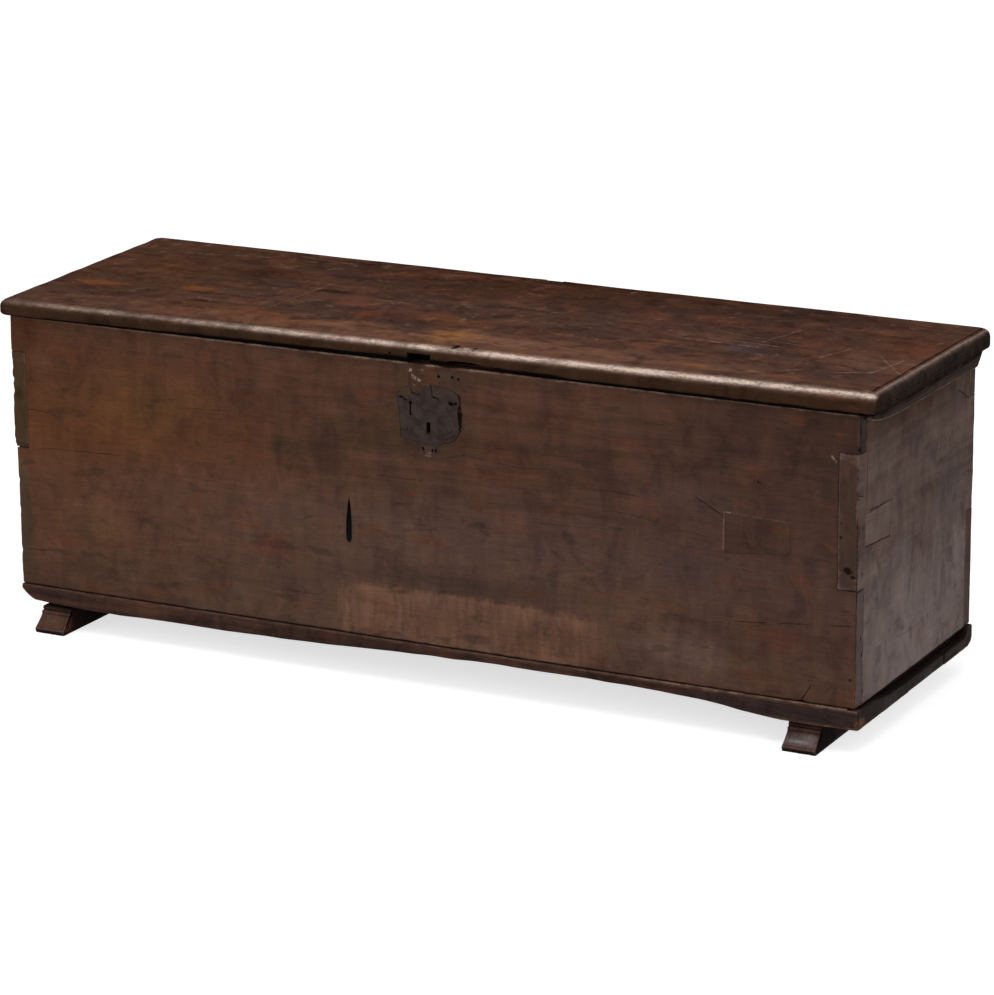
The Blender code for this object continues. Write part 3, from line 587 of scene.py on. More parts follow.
def startMaterial(name):
    material = bpy.data.materials.new(name)
    material.use_nodes = True
    tree = material.node_tree
    tree.nodes.clear()
    w = Wiring(tree)
    shader = w.put("ShaderNodeBsdfPrincipled")
    output = w.put("ShaderNodeOutputMaterial")
    tree.links.new(shader.outputs[0], output.inputs[0])
    where = w.put("ShaderNodeTexCoord")
    metres = w.vector("ADD", where.outputs["Object"], tuple(-v / 1000.0 for v in chest["origin"]))
    return material, w, shader, w.vector("SCALE", metres, scale=1000.0), where.outputs["Normal"]


def placePatches(w, place, colour, marks):
    for mark in marks:
        rx, ry, rz = mark["radii"]
        node = useGroup(w, "patch", {"Vector": place, "Centre": mark["at"],
                                     "Share": (1 / rx, 1 / ry, 1 / rz), "Ragged": mark.get("ragged", 0.5),
                                     "Softness": mark.get("soft", 0.5), "Power": mark.get("power", 2.0),
                                     "Grain": mark.get("grain", (0.012, 0.06, 0.06))})
        colour = w.mix(w.maths("MULTIPLY", node.outputs[0], mark["share"]), colour, mark["colour"])
    return colour


def placeScratches(w, place, colour, marks):
    for mark in marks:
        vector = w.vector("MULTIPLY", place, mark["flat"])
        node = useGroup(w, "scratch", {"Vector": vector, "Start": mark["start"], "End": mark["end"],
                                       "Width": mark.get("width", 1.6), "Wander": mark.get("wander", 5.0),
                                       "Broken": mark.get("broken", 0.6)})
        colour = w.mix(w.maths("MULTIPLY", node.outputs[0], mark["share"]), colour, mark["colour"])
    return colour


def walnut(name, look):
    material, w, shader, place, normal = startMaterial(name)
    turned = place
    if look["grainAxis"] == "Y":
        parts = w.put("ShaderNodeSeparateXYZ", {0: place})
        turned = w.put("ShaderNodeCombineXYZ", {0: parts.outputs[1], 1: parts.outputs[0],
                                                2: parts.outputs[2]}).outputs[0]
    grain = useGroup(w, "grain", {"Vector": turned, "Seed": look["seed"], "Swirl": look.get("swirl", 26.0)})
    figure = w.spread(grain.outputs["Figure"], 0.32, 0.68)
    colour = w.mix(figure, look["deep"], look["light"])
    cloud = w.spread(grain.outputs["Cloud"], 0.42, 0.66)
    colour = w.mix(w.maths("MULTIPLY", cloud, look.get("cloudShare", 0.6)), colour, look["cloud"])
    second = w.noise(w.vector("MULTIPLY", turned, (0.006, 0.016, 0.016)), 3.0, 0.6).outputs["Fac"]
    second = w.maths("MULTIPLY", w.spread(second, 0.5, 0.7), look.get("warmShare", 0.5))
    colour = w.mix(second, colour, look["warm"])
    colour = placePatches(w, place, colour, look.get("patches", ()))
    for scale, low, high, tint, amount in look.get("flecks", ()):
        fleck = w.noise(w.vector("MULTIPLY", turned, scale), 4.0, 0.6, 0.4).outputs["Fac"]
        colour = w.mix(w.spread(fleck, low, high, 0.0, amount), colour, tint)
    colour = placePatches(w, place, colour, look.get("over", ()))
    share = look.get("mottle", 0.5)
    colour = w.mix(w.spread(grain.outputs["Mottle"], 0.50, 0.66, 0.0, share), colour, look["mottleDark"],
                   "MULTIPLY")
    colour = w.mix(w.spread(grain.outputs["Mottle"], 0.34, 0.50, share, 0.0), colour, look["mottleLight"],
                   "MULTIPLY")
    colour = w.mix(w.spread(grain.outputs["Ripple"], 0.45, 0.62, 0.0, look.get("ripple", 0.22)), colour,
                   (0.55, 0.52, 0.52), "MULTIPLY")
    streak = w.spread(grain.outputs["Streak"], 0.38, 0.66, 0.0, look.get("contrast", 0.3))
    colour = w.mix(streak, colour, (0.34, 0.30, 0.30), "MULTIPLY")
    colour = w.mix(w.maths("MULTIPLY", grain.outputs["Pore"], look.get("poreShare", 0.35)), colour,
                   (0.35, 0.30, 0.28), "MULTIPLY")
    colour = placeScratches(w, place, colour, look.get("scratches", ()))
    axis = {"X": (1, 0, 0), "Y": (0, 1, 0)}[look["grainAxis"]]
    endGrain = w.spread(w.maths("ABSOLUTE", w.vector("DOT_PRODUCT", normal, axis)), 0.7, 0.9)
    colour = w.mix(w.maths("MULTIPLY", endGrain, look.get("endShare", 0.8)), colour,
                   look.get("endTint", (0.5, 0.46, 0.45)), "MULTIPLY")
    # Faces turned to the sides are darkened: painted shade.
    if "shadedSideTint" in look:
        side = w.spread(w.maths("ABSOLUTE", w.vector("DOT_PRODUCT", normal, (1, 0, 0))), 0.6, 0.9)
        colour = w.mix(side, colour, look["shadedSideTint"], "MULTIPLY")
    edges = useGroup(w, "edges", {"Vector": turned, "Arris": w.attribute("arris"),
                                  "GrimeAndShade": w.attribute("grimeAndShade"), "Even": look.get("even", 0.25)})
    colour = w.mix(edges.outputs["DirtAndShade"], colour, look.get("dirtAndShade", (0.012, 0.007, 0.006)))
    colour = w.mix(edges.outputs["RubbedAndHighlight"], colour, look["rubbedAndHighlight"])
    w.join(colour, shader, "Base Color")
    rough = w.spread(grain.outputs["Streak"], 0.25, 0.75, look["rough"] - 0.07, look["rough"] + 0.10)
    smudge = w.noise(w.vector("SCALE", place, scale=0.012), 4.0, 0.65).outputs["Fac"]
    rough = w.maths("ADD", rough, w.spread(smudge, 0.3, 0.7, -0.06, 0.08))
    w.join(rough, shader, "Roughness")
    shader.inputs["Specular IOR Level"].default_value = look["specular"]
    shader.inputs["Coat Weight"].default_value = look.get("coat", 0.0)
    shader.inputs["Coat Roughness"].default_value = 0.3
    dents = w.noise(w.vector("SCALE", place, scale=0.055), 3.0, 0.6).outputs["Fac"]
    height = w.maths("ADD", grain.outputs["Height"], w.maths("MULTIPLY", dents, look.get("dents", 0.9)))
    bump = w.put("ShaderNodeBump", {"Height": height, "Strength": look.get("bump", 0.35), "Distance": 0.0006})
    w.join(bump.outputs[0], shader, "Normal")
    return material


def iron(name, look):
    material, w, shader, place, _ = startMaterial(name)
    broad = w.noise(w.vector("SCALE", place, scale=0.06), 4.0, 0.6).outputs["Fac"]
    small = w.noise(w.vector("SCALE", place, scale=0.5), 4.0, 0.65).outputs["Fac"]
    colour = w.mix(w.spread(broad, 0.35, 0.65), look["dark"], look["light"])
    rust = w.maths("MULTIPLY", w.spread(small, 0.52, 0.7), look["rustShare"])
    colour = w.mix(rust, colour, look["rust"])
    edges = useGroup(w, "edges", {"Vector": place, "Arris": w.attribute("arris"), "GrimeAndShade": 0.0})
    colour = w.mix(edges.outputs["RubbedAndHighlight"], colour, look["rubbedAndHighlight"])
    colour = placePatches(w, place, colour, look.get("patches", ()))
    colour = placeScratches(w, place, colour, look.get("scratches", ()))
    w.join(colour, shader, "Base Color")
    w.join(w.spread(rust, 0.0, 1.0, look["metal"], 0.02), shader, "Metallic")
    shader.inputs["Specular IOR Level"].default_value = look["specular"]
    w.join(w.spread(small, 0.3, 0.7, look["rough"] - 0.08, look["rough"] + 0.12), shader, "Roughness")
    hammer = w.put("ShaderNodeTexVoronoi", {"Vector": w.vector("SCALE", place, scale=0.14)},
                   feature="SMOOTH_F1").outputs["Distance"]
    height = w.maths("ADD", w.maths("MULTIPLY", hammer, 0.8), w.maths("MULTIPLY", small, 0.5))
    bump = w.put("ShaderNodeBump", {"Height": height, "Strength": look.get("bump", 0.5), "Distance": 0.0006})
    w.join(bump.outputs[0], shader, "Normal")
    return material


# A stain or rubbed place: an ellipse, or with more power a box, with a ragged edge.
def spot(x, y, z, rx, ry, rz, colour, share, **more):
    return {"at": (x, y, z), "radii": (rx, ry, rz), "colour": colour, "share": share, **more}


def onFront(x, z, rx, rz, colour, share, **more):
    return spot(x, 0.0, z, rx, 1e5, rz, colour, share, **more)


def onTop(x, y, rx, ry, colour, share, **more):
    return spot(x, y, 508.0, rx, ry, 31.0, colour, share, **more)


def onEnd(y, z, ry, rz, colour, share, **more):
    return spot(0.0, y, z, 1e5, ry, rz, colour, share, **more)


# A thin wandering line between two points; flat says which directions count for it.
def scratch(start, end, flat, colour, share, **more):
    return {"start": start, "end": end, "flat": flat, "colour": colour, "share": share, **more}


def scratchTop(x0, y0, x1, y1, colour, share, **more):
    return scratch((x0, y0, 50.8), (x1, y1, 50.8), (1, 1, 0.1), colour, share, **more)


def scratchFront(x0, z0, x1, z1, colour, share, **more):
    return scratch((x0, 0.0, z0), (x1, 0.0, z1), (1, 0, 1), colour, share, **more)


def scratchEnd(y0, z0, y1, z1, colour, share, **more):
    return scratch((0.0, y0, z0), (0.0, y1, z1), (0, 1, 1), colour, share, **more)


# Dark tones and noise scales that many marks share.
deepest, holeTone, pitTone = (0.002, 0.001, 0.001), (0.003, 0.002, 0.002), (0.004, 0.003, 0.003)
nearBlackTone, seamTone, crackTone = (0.006, 0.004, 0.004), (0.010, 0.006, 0.005), (0.014, 0.009, 0.008)
woodGrit, ironGrit, chalkGrit = (0.12, 0.12, 0.12), (0.2, 0.1, 0.2), (0.30, 0.1, 0.30)

frontLook = {
    "grainAxis": "X", "seed": 0.37, "deep": (0.060, 0.030, 0.0200), "light": (0.090, 0.0435, 0.0295),
    "cloud": (0.076, 0.036, 0.0238), "warm": (0.090, 0.034, 0.018), "rubbedAndHighlight": (0.30, 0.205, 0.150),
    "mottleDark": (0.50, 0.52, 0.60), "mottleLight": (1.45, 1.36, 1.26), "mottle": 0.45,
    "rough": 0.50, "specular": 0.02, "contrast": 0.17, "poreShare": 0.32, "bump": 0.3,
    "endTint": (0.92, 0.90, 0.90), "endShare": 0.95,
    "over": (
        # The right finger's end: paler low down from painted bounce light, darker at the top from painted
        # shade under the lid.
        spot(1550.6, 14, 95, 1.6, 15, 98, (0.104, 0.074, 0.066), 0.95, soft=0.1, ragged=0.1, power=8.0),
        spot(1550.6, 14, 443, 1.6, 15, 34, (0.026, 0.015, 0.011), 0.95, soft=0.1, ragged=0.1, power=8.0),
        spot(1550, -0.5, 205, 2.2, 2.2, 215, (0.008, 0.005, 0.004), 0.95, soft=0.5, ragged=0.8, power=5.0,
             grain=(0.05, 0.05, 0.05)),
        spot(1550, 19, 110, 3, 3, 5, pitTone, 1.0, soft=0.4, ragged=0.8, grain=woodGrit),
        spot(1550, 24, 84, 3, 4, 6, pitTone, 1.0, soft=0.4, ragged=0.8, grain=woodGrit),
        spot(1550, 6, 446, 4, 5, 12, (0.005, 0.004, 0.003), 0.95, soft=0.5, ragged=1.0, grain=woodGrit),
        spot(1550, 4, 418, 4, 7, 5, (0.005, 0.004, 0.003), 0.95, soft=0.5, ragged=1.0, grain=woodGrit),
    ),
    "flecks": (((0.012, 0.030, 0.030), 0.56, 0.66, (0.115, 0.040, 0.020), 0.40),
               ((0.016, 0.040, 0.040), 0.57, 0.66, (0.038, 0.026, 0.018), 0.45)),
    "patches": (
        onFront(120, 260, 700, 340, (0.112, 0.043, 0.018), 0.90, soft=1.0, ragged=0.3),
        onFront(260, 350, 190, 75, (0.108, 0.050, 0.021), 0.70, soft=0.9, ragged=0.7),
        onFront(170, 115, 95, 75, (0.112, 0.055, 0.024), 0.70, soft=0.8, ragged=0.7),
        onFront(1500, 260, 520, 330, (0.057, 0.031, 0.024), 0.80, soft=1.0, ragged=0.3),
        onFront(775, 50, 1200, 220, (0.108, 0.062, 0.045), 0.70, soft=1.0, ragged=0.3),
        onFront(775, 195, 1300, 110, (0.116, 0.070, 0.056), 0.42, soft=1.0, ragged=0.3),
        onFront(1480, 440, 300, 130, (0.040, 0.022, 0.015), 0.65, soft=1.0, ragged=0.5),
        onFront(20, 450, 90, 60, (0.062, 0.020, 0.008), 0.6, soft=1.0),
        onFront(740, 345, 230, 48, (0.044, 0.031, 0.019), 0.55, soft=0.9, ragged=0.8),
        onFront(560, 300, 110, 40, (0.046, 0.030, 0.018), 0.45, soft=0.9, ragged=0.8),
        onFront(505, 136, 45, 26, (0.125, 0.036, 0.020), 0.55, soft=0.9),
        onFront(1163, 384, 60, 13, (0.100, 0.035, 0.022), 0.60, soft=0.9),
        onFront(1421, 96, 62, 30, (0.105, 0.036, 0.024), 0.55, soft=0.9),
        onFront(1030, 400, 120, 40, (0.084, 0.037, 0.022), 0.5, soft=0.9),
        onFront(1260, 190, 120, 60, (0.052, 0.033, 0.030), 0.5, soft=0.9, ragged=0.7),
        onFront(640, 432, 120, 36, (0.102, 0.045, 0.028), 0.5, soft=0.9, ragged=0.5),
        onFront(965, 432, 150, 36, (0.104, 0.045, 0.029), 0.5, soft=0.9, ragged=0.5),
        onFront(1250, 52, 140, 60, (0.150, 0.092, 0.072), 0.6, soft=1.0, ragged=0.5),
        onFront(1250, 310, 170, 60, (0.084, 0.050, 0.040), 0.55, soft=1.0, ragged=0.5),
        onFront(1497, 300, 26, 90, (0.040, 0.022, 0.017), 0.45, soft=0.9, ragged=0.5),
        onFront(860, 112, 270, 30, (0.044, 0.027, 0.022), 0.60, soft=0.9, ragged=0.5),
        onFront(868, 44, 262, 50, (0.165, 0.086, 0.054), 0.92, soft=0.2, ragged=0.30, power=6.0,
                grain=(0.06, 0.03, 0.010)),
        onFront(868, 44, 250, 46, (0.092, 0.047, 0.031), 0.50, soft=0.7, ragged=1.8,
                grain=(0.085, 0.03, 0.012)),
        onFront(1030, 40, 130, 40, (0.100, 0.050, 0.030), 0.45, soft=0.8, ragged=0.8,
                grain=(0.08, 0.03, 0.01)),
        onFront(882, 22, 42, 12, (0.050, 0.030, 0.024), 0.6, soft=0.6),
        onFront(800, 385, 70, 72, (0.048, 0.030, 0.024), 0.55, soft=0.6),
        onFront(834, 448, 30, 26, (0.066, 0.045, 0.030), 0.8, soft=0.6),
        onFront(755, 448, 16, 26, (0.082, 0.044, 0.024), 0.7, soft=0.8, ragged=0.5),
        onFront(781, 448, 18, 28, (0.054, 0.029, 0.018), 0.85, soft=0.4, ragged=0.5, grain=(0.09, 0.1, 0.09)),
        onFront(769, 461, 3.4, 3.6, (0.30, 0.205, 0.155), 0.85, soft=0.6, ragged=1.5, grain=chalkGrit),
        onFront(777, 449, 4.6, 3.2, (0.24, 0.160, 0.120), 0.75, soft=0.6, ragged=1.6, grain=chalkGrit),
        onFront(785, 446, 4.8, 3.4, (0.30, 0.205, 0.155), 0.80, soft=0.6, ragged=1.6, grain=chalkGrit),
        onFront(773, 453, 2.6, 2.6, (0.24, 0.160, 0.120), 0.75, soft=0.6, ragged=1.5, grain=chalkGrit),
        onFront(776, 437, 2.6, 2.2, (0.18, 0.120, 0.088), 0.65, soft=0.6, ragged=1.5, grain=chalkGrit),
        onFront(790, 463, 4.4, 2.4, (0.17, 0.115, 0.085), 0.6, soft=0.6, ragged=1.6, grain=chalkGrit),
        onFront(786, 470, 20, 4, (0.040, 0.026, 0.018), 0.6, soft=0.6, ragged=1.0, grain=(0.1, 0.1, 0.1)),
        onFront(800, 321.5, 10, 2.4, (0.20, 0.130, 0.100), 0.5, soft=0.6, ragged=1.2,
                grain=(0.16, 0.1, 0.16)),
        # A black line in the gap right of the lock plate: painted shade.
        onFront(859, 393, 5.5, 31, (0.004, 0.003, 0.002), 1.0, soft=0.4, ragged=0.6, grain=(0.12, 0.1, 0.12)),
        onFront(857, 424, 5, 10, seamTone, 0.85, soft=0.6, ragged=0.9, grain=(0.12, 0.1, 0.12)),
        onFront(12, 120, 14, 125, (0.058, 0.042, 0.026), 0.75, soft=0.5, power=5.0),
        onFront(1550, 205, 2.4, 208, seamTone, 0.8, soft=0.5, power=5.0),
        onFront(651, 188, 17, 52, (0.028, 0.018, 0.014), 0.35, soft=1.0),
        spot(650.5, 4.0, 186, 9, 3.7, 48, (0.004, 0.006, 0.006), 1.0, soft=0.2, ragged=0.1, power=5.0),
    ),
    "scratches": (
        scratchFront(828, 320, 865, 330, (0.03, 0.018, 0.013), 0.7, width=2.2),
        scratchFront(865, 330, 902, 327, (0.03, 0.018, 0.013), 0.7, width=2.2),
        scratchFront(707, 279, 789, 277, (0.03, 0.018, 0.013), 0.7, width=2.2),
        scratchFront(1505, 404, 1512, 396, (0.22, 0.16, 0.12), 0.7, width=2.5),
        scratchFront(1324, 232, 1325, 290, (0.17, 0.11, 0.08), 0.6, width=2.2, wander=2.0, broken=0.4),
        scratchFront(1325, 292.5, 1336, 292.5, (0.20, 0.13, 0.10), 0.75, width=2.2, wander=2.0),
        scratchFront(1340, 292, 1438, 288.5, (0.12, 0.075, 0.055), 0.6, width=1.5, wander=2.0),
        scratchFront(767, 434, 773, 423, crackTone, 0.9, width=2.2, wander=2.0, broken=0.2),
        scratchFront(773, 423, 786, 422, crackTone, 0.9, width=2.6, wander=2.0, broken=0.2),
        scratchFront(786, 422, 792, 430, crackTone, 0.9, width=2.2, wander=2.0, broken=0.2),
        scratchFront(1377, 349, 1387, 346, (0.02, 0.012, 0.01), 0.9, width=2.5),
        scratchFront(560, 395, 700, 399, (0.040, 0.022, 0.014), 0.5, width=2.2),
        scratchFront(300, 232, 470, 226, (0.045, 0.022, 0.012), 0.5, width=2.0),
        scratchFront(980, 232, 1150, 240, (0.034, 0.020, 0.015), 0.5, width=2.2),
        scratchFront(1130, 270, 1215, 262, (0.026, 0.016, 0.013), 0.6, width=2.0),
    ),
}

lidLook = {
    "grainAxis": "X", "seed": 1.9, "deep": (0.064, 0.032, 0.022), "light": (0.098, 0.047, 0.032),
    "cloud": (0.074, 0.039, 0.029), "warm": (0.125, 0.047, 0.026), "rubbedAndHighlight": (0.56, 0.435, 0.360),
    "even": 0.6,
    "mottleDark": (0.44, 0.42, 0.46), "mottleLight": (1.4, 1.3, 1.22), "mottle": 0.55,
    "rough": 0.46, "specular": 0.0, "contrast": 0.15, "poreShare": 0.22, "bump": 0.5, "swirl": 34.0,
    "dirtAndShade": pitTone, "endTint": (0.40, 0.40, 0.42), "endShare": 0.9,
    "flecks": (((0.0080, 0.010, 0.010), 0.52, 0.64, (0.140, 0.052, 0.030), 0.48),
               ((0.018, 0.022, 0.022), 0.57, 0.67, (0.180, 0.078, 0.042), 0.34),
               ((0.0065, 0.009, 0.009), 0.51, 0.63, (0.050, 0.029, 0.024), 0.68),
               ((0.022, 0.022, 0.022), 0.57, 0.67, (0.034, 0.018, 0.015), 0.42),
               ((0.045, 0.040, 0.040), 0.60, 0.68, (0.190, 0.120, 0.088), 0.35)),
    "patches": (
        # A paler front strip: wear and painted sheen.
        onTop(760, 50, 900, 75, (0.165, 0.078, 0.047), 0.80, soft=1.0, ragged=0.5),
        onTop(420, 70, 260, 60, (0.140, 0.056, 0.026), 0.50, soft=0.9, ragged=0.6),
        onTop(1200, 60, 420, 55, (0.135, 0.066, 0.045), 0.50, soft=0.9, ragged=0.6),
        # A pale band along the nose's crest: painted highlight with wear.
        spot(430, 9, 513, 420, 22, 7, (0.160, 0.082, 0.050), 0.60, soft=0.9, ragged=0.6,
             grain=(0.03, 0.06, 0.06)),
        spot(1180, 10, 514, 620, 24, 7, (0.285, 0.180, 0.135), 0.65, soft=0.9, ragged=0.5,
             grain=(0.03, 0.06, 0.06)),
        spot(870, 6, 507, 9, 6, 6, (0.40, 0.29, 0.21), 0.7, soft=0.6, ragged=0.8, grain=(0.1, 0.1, 0.1)),
        onTop(1500, 205, 110, 120, (0.135, 0.072, 0.050), 0.6, soft=0.9, ragged=0.6),
        onTop(60, 163, 95, 17, (0.25, 0.070, 0.018), 0.80, soft=0.8, ragged=0.9, grain=(0.03, 0.09, 0.06)),
        onTop(150, 300, 130, 50, (0.125, 0.045, 0.016), 0.55, soft=0.9, ragged=0.9),
        onTop(240, 190, 60, 20, (0.25, 0.075, 0.018), 0.75, soft=0.8, ragged=0.9, grain=(0.03, 0.09, 0.06)),
        onTop(118, 322, 20, 12, (0.20, 0.085, 0.03), 0.7, soft=0.7),
        onTop(620, 145, 60, 26, (0.21, 0.048, 0.020), 0.75, soft=0.8, ragged=0.9, grain=(0.03, 0.07, 0.06)),
        onTop(700, 150, 160, 60, (0.115, 0.038, 0.014), 0.55, soft=0.9, ragged=0.8),
        onTop(812, 70, 72, 60, (0.26, 0.115, 0.042), 0.85, soft=0.9, ragged=0.9, grain=(0.03, 0.05, 0.06)),
        onTop(1125, 184, 44, 14, (0.21, 0.075, 0.024), 0.75, soft=0.8),
        onTop(1245, 56, 34, 10, (0.24, 0.110, 0.04), 0.7, soft=0.8),
        onTop(1341, 58, 12, 8, (0.22, 0.11, 0.05), 0.7, soft=0.8),
        onTop(900, 300, 175, 75, (0.062, 0.036, 0.027), 0.70, soft=0.8, ragged=0.7),
        onTop(1280, 190, 60, 46, (0.075, 0.062, 0.064), 0.75, soft=0.8, ragged=0.7),
        onTop(310, 330, 95, 42, (0.030, 0.012, 0.009), 0.85, soft=0.7, ragged=0.7),
        onTop(480, 262, 60, 18, (0.024, 0.010, 0.007), 0.7, soft=0.7, ragged=0.7),
        onTop(300, 120, 40, 12, (0.026, 0.010, 0.007), 0.7, soft=0.7, ragged=0.8),
        onTop(1520, 300, 90, 110, (0.125, 0.040, 0.020), 0.6, soft=0.9, ragged=0.6),
        onTop(1120, 330, 160, 60, (0.084, 0.034, 0.024), 0.5, soft=0.9),
        onTop(1431, 418, 12, 7, (0.016, 0.010, 0.008), 0.9, soft=0.5),
        onTop(778, 500, 1000, 270, (0.036, 0.0135, 0.0070), 0.76, soft=1.0, ragged=0.3),
        onTop(600, 82, 130, 36, (0.220, 0.098, 0.050), 0.55, soft=0.9, ragged=0.7),
        onTop(930, 82, 130, 34, (0.200, 0.105, 0.075), 0.5, soft=0.9, ragged=0.7),
        onTop(300, 84, 100, 34, (0.050, 0.020, 0.009), 0.5, soft=0.9, ragged=0.7),
        spot(20, 10, 510, 90, 24, 8, (0.046, 0.022, 0.014), 0.6, soft=0.9),
    ),
    "over": (
        onTop(140, 290, 330, 330, (0.074, 0.031, 0.0125), 0.45, soft=1.0, ragged=0.5),
        onTop(1250, 440, 300, 70, (0.034, 0.016, 0.012), 0.55, soft=1.0, ragged=0.6),
        onTop(760, 370, 560, 90, (0.048, 0.022, 0.014), 0.38, soft=1.0, ragged=0.6),
        onTop(1340, 300, 260, 190, (0.054, 0.024, 0.017), 0.40, soft=1.0, ragged=0.6),
        spot(778, -9, 488, 1400, 7, 15, (0.034, 0.017, 0.0090), 0.90, soft=0.5, ragged=0.3, power=4.0),
        spot(-20, 0, 487, 34, 26, 24, (0.018, 0.010, 0.007), 0.85, soft=0.8),
        spot(1583, 250, 494, 15, 275, 38, (0.0820, 0.0580, 0.0480), 0.93, soft=0.25, ragged=0.2, power=6.0),
        # Near black in the nail holes and the hinge notch: painted shade in them.
        spot(849, 8, 508, 8, 13, 9, holeTone, 1.0, soft=0.3, ragged=0.4, grain=woodGrit),
        spot(884, 5, 507, 5, 10, 8, holeTone, 1.0, soft=0.3, ragged=0.4, grain=woodGrit),
        spot(785, 492, 508, 19, 8, 9, holeTone, 1.0, soft=0.2, ragged=0.2, power=4.0),
        spot(778, 243, 465.5, 1e5, 1e5, 12, (0.096, 0.062, 0.044), 0.82, soft=0.3, ragged=0.0),
    ),
    "scratches": (
        scratchTop(1282, 243, 1305, 345, (0.22, 0.14, 0.11), 0.6, width=2.4),
        scratchTop(1406, 183, 1426, 259, (0.22, 0.14, 0.11), 0.55, width=2.4),
        scratchTop(1518, 129, 1533, 222, (0.24, 0.16, 0.12), 0.6, width=2.2),
        scratchTop(1465, 103, 1518, 129, (0.24, 0.16, 0.12), 0.6, width=2.2),
        scratchTop(435, 123, 450, 330, (0.16, 0.085, 0.055), 0.55, width=3.0),
        scratchTop(1189, 284, 1346, 245, (0.22, 0.14, 0.10), 0.5, width=2.0),
        scratchTop(1485, 238, 1562, 133, (0.22, 0.14, 0.10), 0.5, width=2.2),
        scratchTop(300, 470, 420, 450, (0.20, 0.14, 0.11), 0.5, width=3.0),
        scratchTop(40, 400, 250, 440, (0.22, 0.15, 0.11), 0.5, width=2.4, broken=0.9),
        scratchTop(20, 60, 180, 90, (0.17, 0.10, 0.07), 0.5, width=2.0, broken=0.9),
        scratchTop(1150, 215, 1290, 205, (0.30, 0.21, 0.16), 0.6, width=2.2, broken=0.7),
        scratchTop(1190, 235, 1330, 222, (0.26, 0.19, 0.15), 0.6, width=2.0, broken=0.7),
        scratchTop(960, 150, 1060, 142, (0.24, 0.15, 0.10), 0.5, width=2.0, broken=0.8),
        scratchTop(560, 245, 640, 238, (0.28, 0.19, 0.14), 0.5, width=2.0, broken=0.8),
        scratchTop(700, 60, 980, 40, (0.30, 0.19, 0.13), 0.45, width=2.0, broken=0.8),
        scratchEnd(0, 478.5, 495, 477.5, (0.010, 0.007, 0.006), 0.85, width=1.9, wander=4.0, broken=0.5),
        scratchEnd(30, 483.5, 440, 482.5, (0.012, 0.008, 0.007), 0.75, width=1.7, wander=5.0, broken=0.7),
        scratchEnd(0, 489.5, 495, 488.5, (0.014, 0.010, 0.008), 0.60, width=1.6, wander=5.0, broken=0.8),
    ),
}

